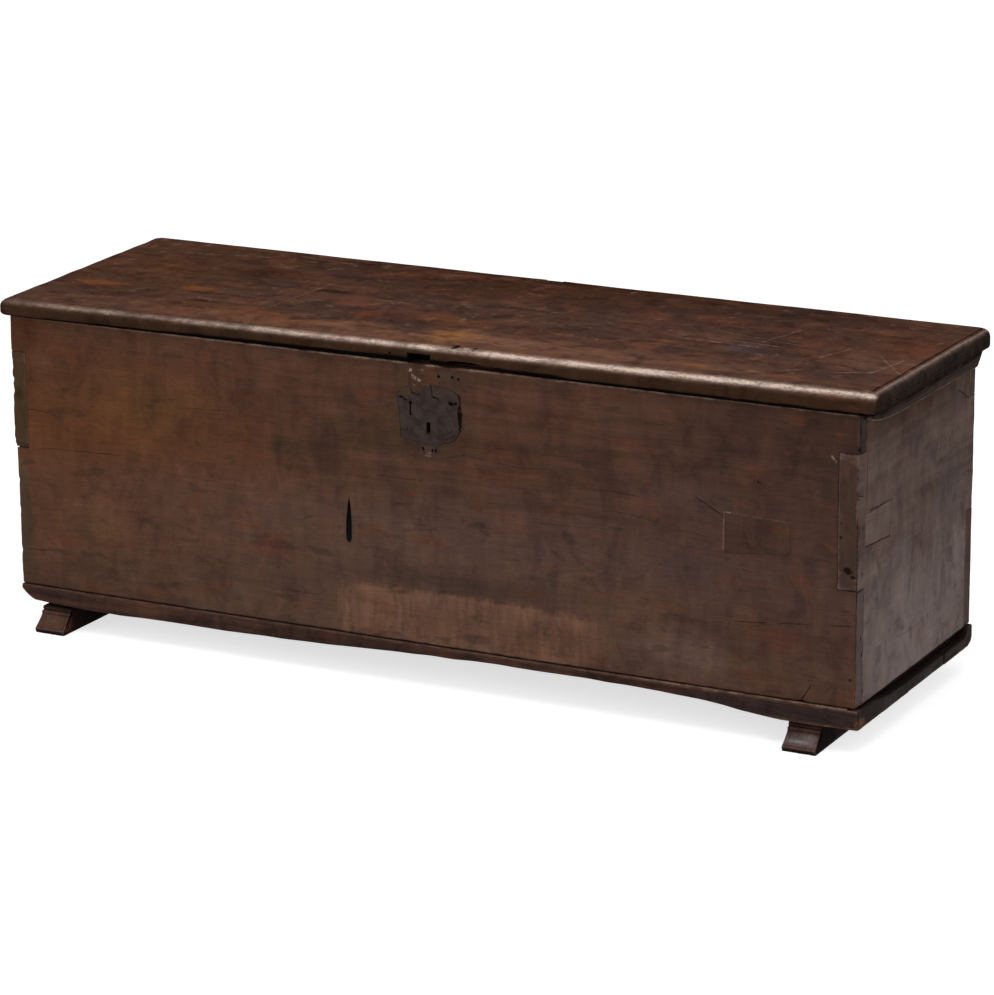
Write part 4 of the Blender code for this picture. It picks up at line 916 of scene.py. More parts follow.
endLook = {
    "grainAxis": "Y", "seed": 3.1, "deep": (0.092, 0.061, 0.051), "light": (0.137, 0.096, 0.081),
    "cloud": (0.117, 0.083, 0.073), "warm": (0.132, 0.081, 0.064), "rubbedAndHighlight": (0.26, 0.20, 0.165),
    "mottleDark": (0.62, 0.62, 0.68), "mottleLight": (1.3, 1.28, 1.24), "mottle": 0.5,
    "rough": 0.50, "specular": 0.0, "contrast": 0.07, "poreShare": 0.10, "bump": 0.25, "ripple": 0.25,
    "flecks": (((0.014, 0.014, 0.014), 0.55, 0.66, (0.110, 0.064, 0.046), 0.35),
               ((0.016, 0.016, 0.016), 0.56, 0.66, (0.052, 0.042, 0.044), 0.40)),
    "endTint": (0.96, 0.92, 0.86),
    "patches": (
        # Paler and greyer low down from painted bounce light and sheen, darker at the top from painted shade
        # under the lid.
        onEnd(250, 40, 560, 270, (0.222, 0.174, 0.164), 0.85, soft=1.0, ragged=0.3),
        onEnd(430, 140, 90, 70, (0.235, 0.190, 0.184), 0.5, soft=0.9),
        onEnd(250, 480, 520, 112, (0.060, 0.032, 0.021), 0.97, soft=0.9, ragged=0.3),
        onEnd(90, 300, 80, 120, (0.165, 0.110, 0.086), 0.5, soft=0.9),
        onEnd(400, 270, 80, 70, (0.092, 0.078, 0.080), 0.5, soft=0.9),
        onEnd(190, 200, 70, 60, (0.110, 0.096, 0.100), 0.4, soft=0.9, ragged=0.8),
        # Painted shadow under the lid: a dark band along the top and a black spot at the front corner.
        spot(1562, 250, 462, 14, 260, 18, (0.030, 0.018, 0.013), 0.85, soft=0.4, power=4.0),
        spot(1550, 10, 470, 8, 16, 9, nearBlackTone, 0.9, soft=0.6),
        spot(6, 0, 328, 22, 8, 88, (0.062, 0.036, 0.019), 0.90, soft=0.2, power=6.0),
        spot(8, 0, 338, 12, 8, 16, (0.034, 0.022, 0.011), 0.8, soft=0.8),
        spot(1533, 0, 300, 17, 8, 112, (0.058, 0.034, 0.026), 0.92, soft=0.2, power=6.0),
        spot(1534, 0, 224, 9, 8, 8, seamTone, 0.95, soft=0.5, ragged=0.9, grain=woodGrit),
        spot(1543, 0, 214, 7, 8, 4, seamTone, 0.9, soft=0.5, ragged=0.9, grain=woodGrit),
        spot(1522, 0, 276, 3, 8, 3, (0.012, 0.007, 0.006), 0.9, soft=0.5),
        spot(1522, 0, 299, 3, 8, 3, (0.012, 0.007, 0.006), 0.9, soft=0.5),
        spot(1524, 0, 380, 4, 8, 3, (0.080, 0.030, 0.018), 0.8, soft=0.6),
        spot(1550, 0, 205, 2.6, 2.6, 208, seamTone, 0.85, soft=0.5, power=5.0),
        spot(1533, 497, 298, 24, 6, 105, (0.062, 0.039, 0.030), 0.90, soft=0.2, power=6.0),
        spot(10, 497, 298, 24, 6, 105, (0.062, 0.039, 0.030), 0.90, soft=0.2, power=6.0),
        spot(1550, 495, 436, 4, 4, 9, nearBlackTone, 0.9, soft=0.4),
        spot(1550, 496, 394, 4, 4, 5, nearBlackTone, 0.9, soft=0.4),
        spot(1550, 496, 348, 4, 4, 5, nearBlackTone, 0.9, soft=0.4),
        spot(1550, 495, 262, 4, 3, 4, nearBlackTone, 0.9, soft=0.4),
        spot(1550, 495, 196, 4, 4, 6, nearBlackTone, 0.9, soft=0.4),
    ),
    "scratches": (
        scratchEnd(34, 330, 34, 410, (0.018, 0.012, 0.01), 0.8, width=1.8, wander=2.0),
        scratchEnd(33, 255.5, 132, 248, crackTone, 0.85, width=2.2, wander=2.0, broken=0.5),
        scratchEnd(52, 310, 142, 305.5, crackTone, 0.85, width=2.2, wander=2.0, broken=0.5),
        scratchEnd(200, 120, 330, 80, (0.15, 0.12, 0.10), 0.35, width=2.4),
        scratchEnd(420, 417, 470, 392, (0.018, 0.012, 0.01), 0.6, width=2.4),
    ),
}

backLook = {
    **frontLook, "seed": 5.2, "deep": (0.050, 0.030, 0.022), "light": (0.078, 0.048, 0.035),
    "endTint": (0.85, 0.86, 0.90), "scratches": (),
    "patches": (
        onFront(500, 200, 420, 160, (0.090, 0.060, 0.045), 0.5, soft=0.9),
        onFront(1200, 330, 300, 130, (0.055, 0.034, 0.026), 0.5, soft=0.9),
    ),
    "over": (
        spot(1550, 495, 100, 3, 4, 110, (0.008, 0.006, 0.005), 0.9, soft=0.5, ragged=1.2,
             grain=(0.05, 0.05, 0.05)),
        spot(1550, 495, 436, 4, 4, 14, nearBlackTone, 0.9, soft=0.4, ragged=1.0, grain=(0.08, 0.08, 0.08)),
    ),
}

baseLook = {
    "grainAxis": "X", "seed": 7.7, "deep": (0.035, 0.019, 0.0150), "light": (0.080, 0.039, 0.0280),
    "cloud": (0.050, 0.027, 0.0205), "warm": (0.090, 0.036, 0.021), "rubbedAndHighlight": (0.19, 0.11, 0.075),
    "mottleDark": (0.4, 0.4, 0.42), "mottleLight": (1.5, 1.4, 1.3), "mottle": 0.6,
    "rough": 0.52, "specular": 0.02, "contrast": 0.40, "poreShare": 0.4, "bump": 0.5,
    "endTint": (0.26, 0.27, 0.28), "endShare": 0.97,
    "patches": (
        onFront(1500, -18, 80, 24, (0.034, 0.025, 0.023), 0.6, soft=0.9),
        spot(1556, 12, -24, 5, 24, 12, (0.62, 0.25, 0.085), 0.85, soft=0.9, ragged=0.9,
             grain=(0.2, 0.09, 0.2)),
        spot(1554, -4, -25, 7, 6, 9, (0.130, 0.060, 0.022), 0.8, soft=0.9, ragged=1.4,
             grain=(0.25, 0.25, 0.25)),
        onFront(1340, -16, 130, 22, (0.060, 0.038, 0.040), 0.5, soft=0.9),
        onFront(1430, -19, 230, 40, (0.031, 0.021, 0.020), 0.75, soft=1.0, ragged=0.3),
        spot(1556, 130, -24, 6, 60, 16, (0.16, 0.13, 0.12), 0.5, soft=0.8, ragged=0.9,
             grain=(0.03, 0.03, 0.06)),
        spot(1556, 290, -26, 6, 50, 16, (0.16, 0.13, 0.12), 0.5, soft=0.8, ragged=0.9,
             grain=(0.03, 0.03, 0.06)),
    ),
}

runnerLook = {
    **baseLook, "grainAxis": "Y", "seed": 9.3, "rubbedAndHighlight": (0.30, 0.21, 0.17), "even": 0.7,
    "deep": (0.032, 0.015, 0.012), "light": (0.076, 0.032, 0.022), "warm": (0.120, 0.040, 0.022),
    "warmShare": 0.7, "endTint": (0.9, 0.85, 0.85), "endShare": 0.8, "shadedSideTint": (0.35, 0.35, 0.40),
    "specular": 0.01,
    "patches": (
        spot(69, -16, -55, 34, 22, 16, (0.120, 0.064, 0.045), 0.6, soft=0.5, ragged=1.0, power=6.0,
             grain=(0.12, 0.04, 0.03)),
        # A pale greyish band across the right toe: painted highlight with rubbed wear.
        spot(1467, -18, -58, 40, 20, 11, (0.138, 0.114, 0.113), 0.80, soft=0.6, ragged=0.35, power=4.0,
             grain=(0.02, 0.04, 0.09)),
        spot(1465, -18, -60.5, 26, 20, 3.4, (0.270, 0.235, 0.232), 0.65, soft=0.9, ragged=0.5,
             grain=(0.03, 0.04, 0.10)),
        # The left foot's side: painted light near the toe and painted shade further back; the right foot's
        # side in painted shade.
        spot(98, -16, -58, 2.5, 22, 24, (0.26, 0.095, 0.060), 0.85, soft=0.5),
        spot(98, 20, -58, 2.5, 20, 24, (0.050, 0.024, 0.016), 0.9, soft=0.6),
        spot(1496, 0, -58, 2.5, 70, 34, (0.012, 0.007, 0.0055), 0.95, soft=0.2),
    ),
}

patchLook = {
    **frontLook, "seed": 11.4, "patches": (), "scratches": (), "over": (), "light": (0.078, 0.040, 0.029),
    "deep": (0.056, 0.029, 0.021), "warm": (0.076, 0.036, 0.024), "cloud": (0.064, 0.034, 0.024),
}

endPatchLook = {
    **endLook, "seed": 12.8, "patches": (), "scratches": (), "light": (0.155, 0.112, 0.094),
    "deep": (0.122, 0.088, 0.076),
}
cleatLook = {
    **endLook, "seed": 15.1, "patches": (), "flecks": (), "light": (0.060, 0.044, 0.038),
    "deep": (0.034, 0.025, 0.022), "cloud": (0.046, 0.034, 0.030), "warm": (0.060, 0.042, 0.034),
    "rubbedAndHighlight": (0.36, 0.29, 0.25),
    "scratches": (
        scratchEnd(40, 466, 489, 462, (0.010, 0.007, 0.006), 0.8, width=1.9, wander=4.0, broken=0.6),
        scratchEnd(80, 458, 489, 454, (0.012, 0.008, 0.007), 0.7, width=1.7, wander=4.0, broken=0.7),
    ),
}

ironLook = {
    "dark": (0.027, 0.018, 0.0155), "light": (0.046, 0.031, 0.027), "rust": (0.050, 0.026, 0.018),
    "rustShare": 0.45, "rubbedAndHighlight": (0.09, 0.07, 0.06), "metal": 0.05, "rough": 0.55, "specular": 0.03,
    "patches": (
        onFront(827, 430, 17, 11, (0.048, 0.028, 0.021), 0.8, soft=0.6, grain=(0.06, 0.06, 0.06)),
        onFront(760, 425, 16, 16, (0.058, 0.031, 0.019), 0.8, soft=0.7, grain=(0.06, 0.06, 0.06)),
        onFront(752, 375, 9, 40, (0.050, 0.032, 0.025), 0.7, soft=0.8, grain=(0.05, 0.06, 0.03)),
        # Near black where nails went through the plate: painted shade of the holes.
        onFront(752, 415, 5.5, 2.4, holeTone, 1.0, soft=0.3, ragged=0.8, grain=ironGrit),
        onFront(759, 411.5, 4.0, 1.8, holeTone, 0.9, soft=0.3, ragged=0.8, grain=ironGrit),
        onFront(843, 413, 5.0, 4.6, deepest, 1.0, soft=0.3, ragged=0.7, grain=ironGrit),
        onFront(851, 413.5, 4.5, 2.6, deepest, 1.0, soft=0.3, ragged=0.8, grain=ironGrit),
        onFront(801, 330, 20, 11, (0.062, 0.037, 0.027), 0.8, soft=0.6, ragged=0.6),
        onFront(791, 332, 3.4, 4.2, deepest, 1.0, soft=0.3, ragged=0.8, grain=ironGrit),
        onFront(808, 331, 2.4, 4.4, deepest, 1.0, soft=0.3, ragged=0.8, grain=ironGrit),
        onFront(814, 331, 2.2, 4.8, deepest, 1.0, soft=0.3, ragged=0.8, grain=ironGrit),
        onFront(800, 325.5, 8, 1.8, (0.24, 0.160, 0.125), 0.5, soft=0.5, ragged=1.0, grain=ironGrit),
        # A black line in the gap right of the plate: painted shade.
        onFront(858, 392, 3, 30, holeTone, 0.95, soft=0.5, ragged=1.0, grain=(0.1, 0.1, 0.12)),
        onFront(780, 385, 6, 6, (0.066, 0.044, 0.036), 0.5, soft=0.9),
    ),
    "scratches": (
        scratchFront(807, 442, 809, 421, (0.006, 0.004, 0.003), 0.9, width=2.3, wander=3.0, broken=0.4),
        scratchFront(809, 421, 821, 418, (0.004, 0.003, 0.002), 0.95, width=2.6, wander=3.0, broken=0.3),
        scratchFront(835, 352, 848, 360, nearBlackTone, 0.8, width=2.4, wander=3.0),
        scratchFront(752, 344, 768, 342, nearBlackTone, 0.8, width=2.4, wander=3.0),
    ),
}

nailLook = {
    **ironLook, "specular": 0.1, "metal": 0.15, "dark": (0.014, 0.009, 0.008),
    "light": (0.034, 0.022, 0.018), "rustShare": 0.8, "scratches": (),
    # The two sunk nails are painted near black: painted shade in their holes.
    "patches": tuple(spot(x, 2, z, 6, 6, 6, pitTone, 1.0, power=6.0) for x, z in ((756, 416), (842.5, 420))),
}

woods = {name: walnut(name, look) for name, look in (
    ("frontWalnut", frontLook), ("lidWalnut", lidLook), ("endWalnut", endLook), ("backWalnut", backLook),
    ("baseWalnut", baseLook), ("runnerWalnut", runnerLook), ("patchWalnut", patchLook),
    ("endPatchWalnut", endPatchLook), ("cleatWalnut", cleatLook))}
irons = {"plateIron": iron("plateIron", ironLook), "nailIron": iron("nailIron", nailLook)}
print("materials made")


def onFrontFace(a, b, deep):
    return (a, deep, b)


def onBackFace(a, b, deep):
    return (a, chest["depth"] - deep, b)


def onLeftFace(a, b, deep):
    return (endSet["left"]["outer"] + deep, a, b)


def onRightFace(a, b, deep):
    return (chest["length"] - deep, a, b)


def wall(axis, at, inward, low, high, radius, shine=0.0, soil=0.0):
    return {"axis": axis, "at": at, "inward": inward, "low": low, "high": high, "radius": radius,
            "shine": shine, "soil": soil}


boardSet = {"low": 0.3, "high": 473.7, "nailHole": (3.6, 2.6)}

# Notches are (low, high, inner end). Cracks are (path, width, depth), holes (x, z, radius, depth).
frontSet = {
    "leftFinger": -4.5, "leftNotch": (242.7, 412.3, 23.8), "rightNotch": (190.7, 411.3, 1516.7),
    "thick": 27.0, "step": 4.5, "warp": 0.5,
    "depths": (0, 0.7, 1.7, 3.2, 6, 13.5, 21, 23.8, 25.3, 26.3, 27.0),
    # rimShine: how pale the top arris is along x, from rubbed wear and a painted highlight.
    "rimShine": ((-5, 0.15), (150, 0.3), (320, 0.8), (700, 1.0), (1000, 0.95), (1300, 0.75), (1551, 0.7)),
    "mortise": (763, 836, 352, 418), "calmReach": 90,
    "burnAt": (650.5, 192), "burnLevels": ((-1.0, 1.05), (0.6, 1.0), (2.6, 0.72), (4.6, 0.32)),
    "burnOutline": ((651.5, 235), (649.6, 228), (648.2, 216), (645.6, 194), (644.6, 172), (645.4, 160),
                    (649, 155.5), (653.6, 156.5), (655.6, 164), (656.2, 190), (654.8, 216), (653.0, 228)),
    "cracks": (
        (((1271, 313), (1292, 303), (1310, 292), (1326, 284)), 1.5, 4.0),
        (((1477, 33), (1470, 20), (1463, 10), (1455, -3)), 1.5, 5.0),
        (((6, 311), (40, 313), (72, 310)), 1.1, 3.0),
        (((18, 240), (70, 248), (128, 250), (229, 254)), 0.9, 2.2),
        (((12, 63), (40, 64), (69, 67)), 1.2, 3.0),
        (((1333, 116), (1372, 118), (1402, 122)), 1.2, 3.0),
        (((1418, 123), (1452, 127), (1480, 128)), 1.2, 3.0),
        (((1502, 131), (1530, 134), (1547, 136)), 1.3, 3.5),
        (((900, 327), (960, 322), (1020, 324)), 0.7, 1.4),
        (((330, 350), (420, 353), (500, 349)), 0.6, 1.2),
        (((1060, 300), (1140, 302), (1190, 298)), 0.6, 1.2),
        (((520, 60), (570, 58), (604, 60)), 0.7, 1.5)),
    "holes": ((821, 456, 3.0, 9), (846, 457, 2.8, 9), (857, 455, 2.5, 8), (709, 383, 1.0, 2),
              (1029, 187, 1.0, 2), (1382, 348, 1.6, 3), (1541, 47, 2.9, 3.2)),
    "tongueRecess": ((765, 476), (797, 476), (798, 462), (796, 447), (792, 430), (786, 422), (779, 420),
                     (772, 424), (768, 436), (766, 452)),
}


def frontBoard():
    s = frontSet
    l0, l1, lx = s["leftNotch"]
    r0, r1, rx = s["rightNotch"]
    left, right, low, high = s["leftFinger"], chest["length"], boardSet["low"], boardSet["high"]
    lines = (gridLines(left, right, s["step"], (0.0, lx, rx)), np.array(s["depths"]),
             gridLines(low, high, 2 * s["step"], (l0, l1, r0, r1)))
    spec = {"plane": (0, 2), "faces": (0.0, s["thick"]), "faceWear": (1.0, 0.5), "walls": [
        wall(2, high, -1, -5, 1551, 2.1, s["rimShine"]), wall(2, low, 1, -5, 1551, 1.4, 0.0, 1.3),
        wall(0, 0.0, 1, low, l0, 2.4, 0.25), wall(0, left, 1, l1, high, 2.8, 0.2),
        wall(0, lx, 1, l0, l1, 0.5, 0.0, 0.3), wall(2, l0, -1, 0, lx, 0.9, 0.0, 0.8),
        wall(2, l1, 1, left, lx, 0.5, 0.0, 0.3),
        wall(0, right, -1, low, r0, 3.4, 0.1), wall(0, right, -1, r1, high, 3.2, 0.15),
        wall(0, rx, -1, r0, r1, 0.5, 0.0, 0.3), wall(2, r0, -1, rx, right, 0.5, 0.0, 0.3),
        wall(2, r1, 1, rx, right, 1.0, 0.0, 0.8)]}
    chips = (randomNicks(11, 26, (20, 0, high), (1540, 0, high), (0, 0.5, -0.9))
             + randomNicks(12, 14, (right, 0, 10), (right, 0, 185), (-0.8, 0.6, 0), (4, 11), (0.8, 2.2))
             + randomNicks(13, 8, (right, 0, 415), (right, 0, 470), (-0.8, 0.6, 0))
             + randomNicks(14, 8, (0, 0, 10), (0, 0, 240), (0.7, 0.6, 0))
             + randomNicks(15, 30, (60, 0, 60), (1500, 0, 440), (0, 1, 0), (7, 14), (0.2, 0.5))
             + [((840, 0, high), 26, 2.2, (0, 0.3, -1)), ((781, 0, high), 20, 1.8, (0, 0.5, -1)),
                ((1460, 0, low), 10, 2.0, (0, 0.5, 1))])

    def solid(x, y, z):
        leftEnd = np.where((z > l0) & (z < l1), lx, np.where(z > l1, left, 0.0))
        rightEnd = np.where((z > r0) & (z < r1), rx, right)
        return (x > leftEnd) & (x < rightEnd)

    def shape(p):
        p = nick(wornEdges(p, spec), chips)
        fromLock = np.hypot(p[:, 0] - lockSet["x"], p[:, 2] - lockSet["z"]) / s["calmReach"]
        calm = 1 - np.exp(-fromLock ** 2)
        p[:, 1] += s["warp"] * calm * bumpsOver(p[:, 0], p[:, 2], (150.0, 60.0), 2)
        return p

    board = gridBlock("caseFrontBoard", lines, solid, shape)
    cutAway(board, frontCuts())
    markWearAndHighlights(board, spec)
    points = pointsOf(board)
    recess = (points[:, 1] > 0.55) & (np.abs(points[:, 0] - 782) < 20) & (points[:, 2] > 415)
    setValue(board, "arris", valuesOf(board, "arris") * ~recess)
    shade(board)
    return settle(board, "case", "walnut", woods["frontWalnut"], "front_board")


lockSet = {
    "x": 800.0, "z": 392.0, "inset": 0.2, "thick": 1.6, "cornerFrom": 45,
    "outline": ((7, 49), (35, 47), (49, 41), (56, 33), (59, 24), (54, 8), (55, -2), (60, -14), (57, -27),
                (48, -40), (37, -46), (28, -46), (20, -54), (17, -62), (6, -69), (-6, -66), (-12, -58),
                (-22, -49), (-40, -45), (-50, -43), (-51, -19), (-52, -1), (-56, 11), (-56, 27), (-48, 37),
                (-30, 46), (-30, 34), (-26, 29), (-20, 27), (-14, 30), (-11, 38), (-5, 44)),
    "keyhole": ((796.8, 357), (804.8, 356.6), (805, 366), (804.6, 372), (805.2, 376), (801, 378.2),
                (797.2, 376.6), (797.8, 370)),
    "stapleSlot": ((766.5, 386), (771.5, 386), (771.5, 388), (770.2, 389), (770.2, 404.6), (772, 406),
                   (771.5, 409), (766, 409.5), (765.5, 406), (767.3, 404.6), (767.3, 389), (766.5, 388)),
    "wornCorner": ((839, 411), (839.5, 416), (844, 417.5), (847, 415.5), (854.5, 415), (855, 411.5),
                   (847, 411), (844, 408.5)),
    "cracks": ((((747, 417), (753, 415), (759, 412), (765, 409)), 1.5, 1.2),
               (((838, 421), (834, 427), (828, 431)), 0.9, 1.2)),
    "dimples": ((759.5, 363.5, 6.5, 0.45), (841, 368, 7, 0.4), (842.5, 423, 6, 0.5), (756, 416, 6, 0.4)),
}


# The shield's outline, clockwise, pushed outwards by grow; right moves its right side further.
def lockOutline(grow=0.0, right=0.0):
    points = [Vector(p) for p in lockSet["outline"]]
    made = []
    for i, here in enumerate(points):
        before, after = points[i - 1], points[(i + 1) % len(points)]
        first, second = (here - before).normalized(), (after - here).normalized()
        normal = (Vector((-first.y, first.x)) + Vector((-second.y, second.x))).normalized()
        slope = max(0.5, normal.dot(Vector((-first.y, first.x))))
        p = here + normal * (grow / slope)
        shift = right if here.x > lockSet["cornerFrom"] else 0.0
        made.append((lockSet["x"] + p.x + shift, lockSet["z"] + p.y))
    return made


def frontCuts():
    s = frontSet
    cuts = [prismCutter(lockOutline(0.1, 2.0), "Y", -5.0, 2.1, 0.2, 3, 3.0),
            prismCutter(boxOutline(*s["mortise"]), "Y", -6.0, 20.0),
            prismCutter(patchSet["frontHole"], "Y", -4.0, 8.3, 0.25, 6, 5.0)]
    x0, z0 = s["burnAt"]
    burn = []
    for y, share in s["burnLevels"]:
        tall = 1 - (1 - share) * 0.35
        burn.append([(x0 + (x - x0) * share, y, z0 + (z - z0) * tall) for x, z in s["burnOutline"]])
    cuts.append(loftObject("cutter", burn))
    cuts += crackCutters(s["cracks"], onFrontFace, 0.7, 20)
    cuts += [roundCutter((x, 0.0, z), (0, 1, 0), radius, depth) for x, z, radius, depth in s["holes"]]
    cuts.append(prismCutter(s["tongueRecess"], "Y", -3.0, 0.9, 0.9, 8, 3.0))
    return cuts


backSet = {
    "left": -0.4, "notch": (199.7, 396.3), "notchEnds": (23.8, 1516.7), "inner": 470.0, "warp": 0.7,
    "depths": (0, 1, 2.5, 8, 14, 21, 23.8, 25.3, 26.3, 27.0),
    "cracks": (
        (((1549, 150), (1460, 146), (1380, 150)), 1.4, 5),
        (((30, 330), (120, 326), (210, 331)), 1.2, 4),
        (((640, 90), (760, 84), (905, 88)), 1.0, 3),
        (((900, 410), (1010, 414), (1090, 409)), 0.9, 3)),
    "nailHoles": [(x, z) for x in (13.0, 1533.0) for z in (100.0, 436.0)],
}
# Slots for the hinge staples, in the back board and in the lid's top.
hingeSet = {"places": (215.0, 788.0, 1298.0), "staple": 2.6, "slotZ": (460.0, 463.5), "lidY": 469.0,
            "lidSlot": (17.5, 2.8, 2.4)}


def backBoard():
    s = backSet
    left, right, low, high = s["left"], chest["length"], boardSet["low"], boardSet["high"]
    n0, n1 = s["notch"]
    nl, nr = s["notchEnds"]
    lines = (gridLines(left, right, 9.0, (0.0, nl, nr)), s["inner"] + np.array(s["depths"]),
             gridLines(low, high, 11.0, (n0, n1)))
    spec = {"plane": (0, 2), "faces": (s["inner"], chest["depth"]), "faceWear": (0.5, 1.0), "walls": [
        wall(2, high, -1, -5, 1551, 1.8, 0.5), wall(2, low, 1, -5, 1551, 1.4, 0.0, 0.7),
        wall(0, left, 1, low, 474, 2.2, 0.2), wall(0, right, -1, low, 474, 2.4, 0.2),
        wall(0, nl, 1, n0, n1, 0.8, 0.0, 0.7), wall(0, nr, -1, n0, n1, 0.8, 0.0, 0.7)]}
    chips = (randomNicks(31, 20, (20, 497, high), (1540, 497, high), (0, -0.5, -0.9))
             + randomNicks(32, 16, (20, 497, low), (1540, 497, low), (0, -0.5, 0.9)))

    def solid(x, y, z):
        notch = (z > n0) & (z < n1)
        return (x > np.where(notch, nl, left)) & (x < np.where(notch, nr, right))

    def shape(p):
        p = nick(wornEdges(p, spec), chips)
        p[:, 1] += s["warp"] * bumpsOver(p[:, 0], p[:, 2], (110.0, 34.0), 8)
        return p

    board = gridBlock("caseBackBoard", lines, solid, shape)
    cuts = crackCutters(s["cracks"], onBackFace, 0.8, 40)
    for x, z in s["nailHoles"]:
        cuts.append(roundCutter((x, chest["depth"], z), (0, -1, 0), *boardSet["nailHole"]))
    for x in hingeSet["places"]:
        slot = boxOutline(x - hingeSet["staple"], x + hingeSet["staple"], *hingeSet["slotZ"])
        cuts.append(prismCutter(slot, "Y", 494.0, 500.0))
    cutAway(board, cuts)
    markWearAndHighlights(board, spec)
    shade(board)
    return settle(board, "case", "walnut", woods["backWalnut"], "back_board")


endSet = {
    "left": {
        "inner": 23.5, "outer": -4.5, "tongue": (243.0, 412.0),
        "cracks": (
            (((40, 120), (130, 116), (220, 121)), 1.0, 3),
            (((496, 300), (430, 304), (380, 301)), 1.2, 4),
            (((100, 410), (190, 406), (260, 409)), 0.9, 3)),
        "holes": [(15.0, z, *boardSet["nailHole"]) for z in (272.0, 330.0, 388.0)]
        + [(481.5, 266.0, *boardSet["nailHole"])],
        "brokenToe": ((-8, 257), (-3, 255), (2.5, 251), (6, 246), (6, 240), (-8, 240)),
    },
    "right": {
        "inner": 1517.0, "outer": 1550.0, "tongue": (191.0, 411.0),
        "cracks": (
            (((-3, 347), (8, 344), (24, 340)), 1.5, 5),
            (((33, 331), (34, 370), (33, 409)), 0.9, 1.2),
            (((330, 316), (400, 320), (470, 335)), 1.0, 3),
            (((150, 70), (240, 66), (330, 71)), 0.8, 2),
            (((420, 417), (448, 405), (470, 392)), 1.2, 3),
            (((60, 160), (120, 158), (170, 161)), 0.7, 1.5)),
        "holes": ((19, 289, 3.7, 2.6), (19.5, 215, 3.7, 2.6), (428, 262, 1.4, 4), (455, 266, 2.2, 6),
                  (481.5, 266, 3.7, 2.6)),
    },
    "front": 27.3, "back": 469.7, "backTongue": (200.0, 396.0), "warp": 0.5,
}


def endBoard(side):
    s = endSet[side]
    t0, t1 = s["tongue"]
    b0, b1 = endSet["backTongue"]
    front, back, deep = endSet["front"], endSet["back"], chest["depth"]
    floor, rim, top = boardSet["low"], boardSet["high"], chest["height"]
    out = s["outer"]
    low, high = sorted((s["inner"], out))
    outerHigh = side == "right"
    thick = high - low
    depths = np.array([0, 0.7, 1.7, 3.2, 6, 12, thick - 6, thick - 2.5, thick - 1.0, thick])
    lines = (high - depths[::-1] if outerHigh else low + depths, gridLines(0.0, deep, 5.0, (front, back)),
             gridLines(floor, rim, 7.0, (t0, t1, b0, b1)))
    walls = [wall(2, rim, -1, 0, deep, 1.8, 0.15, 0.4), wall(2, floor, 1, 0, deep, 1.4, 0.1, 0.6),
             wall(1, 0.0, 1, t0, t1, 3.4, 0.1), wall(2, t0, 1, 0, front, 0.9, 0.0, 0.8),
             wall(2, t1, -1, 0, front, 0.9, 0.0, 0.8), wall(1, front, 1, 0, t0, 0.7, 0.0, 0.75),
             wall(1, front, 1, t1, top, 0.7, 0.0, 0.75), wall(1, deep, -1, b0, b1, 2.8, 0.1),
             wall(2, b0, 1, back, deep, 0.9, 0.0, 0.8), wall(2, b1, -1, back, deep, 0.9, 0.0, 0.8),
             wall(1, back, -1, 0, b0, 0.7, 0.0, 0.75), wall(1, back, -1, b1, top, 0.7, 0.0, 0.75)]
    spec = {"plane": (1, 2), "faces": (low, high), "faceWear": (0.5, 1.0) if outerHigh else (1.0, 0.5),
            "walls": walls}
    way = -1.0 if outerHigh else 1.0
    chips = (randomNicks(51, 16, (out, 0, t0 + 6), (out, 0, t1 - 6), (way * 0.7, 0.7, 0), (4, 10), (0.8, 2.0))
             + randomNicks(52, 18, (out, 60, 40), (out, 440, 440), (way, 0, 0), (7, 13), (0.2, 0.5)))

    def solid(x, y, z):
        y0 = np.where((z > t0) & (z < t1), 0.0, front)
        y1 = np.where((z > b0) & (z < b1), deep, back)
        return (y > y0) & (y < y1)

    def shape(p):
        p = nick(wornEdges(p, spec), chips)
        p[:, 0] += endSet["warp"] * bumpsOver(p[:, 1], p[:, 2], (120.0, 50.0), 12)
        return p

    board = gridBlock("case%sEndBoard" % side.capitalize(), lines, solid, shape)
    if outerHigh:
        cuts = [prismCutter(patchSet["endHole"], "X", 1541.7, 1556.0, 0.25, 6, 5.0)]
        cuts += crackCutters(s["cracks"], onRightFace, 0.7, 60)
    else:
        cuts = [prismCutter(s["brokenToe"], "X", -9.0, 40.0)]
        cuts += crackCutters(s["cracks"], onLeftFace, 0.7, 70)
    cuts += [roundCutter((out, y, z), (way, 0, 0), radius, depth) for y, z, radius, depth in s["holes"]]
    cutAway(board, cuts)
    markWearAndHighlights(board, spec)
    shade(board)
    return settle(board, "case", "walnut", woods["endWalnut"], side + "_end_board")


patchSet = {
    "frontCorners": ((1327, 226), (1437, 237), (1437, 287), (1326, 291)),
    "endCorners": ((32, 257), (131, 249), (141, 305), (30, 308)), "deep": 8.0, "proud": 0.4,
    "frontHole": ((1325.5, 291.5), (1326.6, 225.7), (1437.4, 236.7), (1437.4, 287.4)),
    "endHole": ((29.2, 308.8), (31.2, 256.2), (131.8, 248.2), (141.9, 305.7)),
    "fine": (0, 0.006, 0.016, 0.035, 0.07), "layers": (0, 0.5, 0.86, 0.95, 1.0),
}


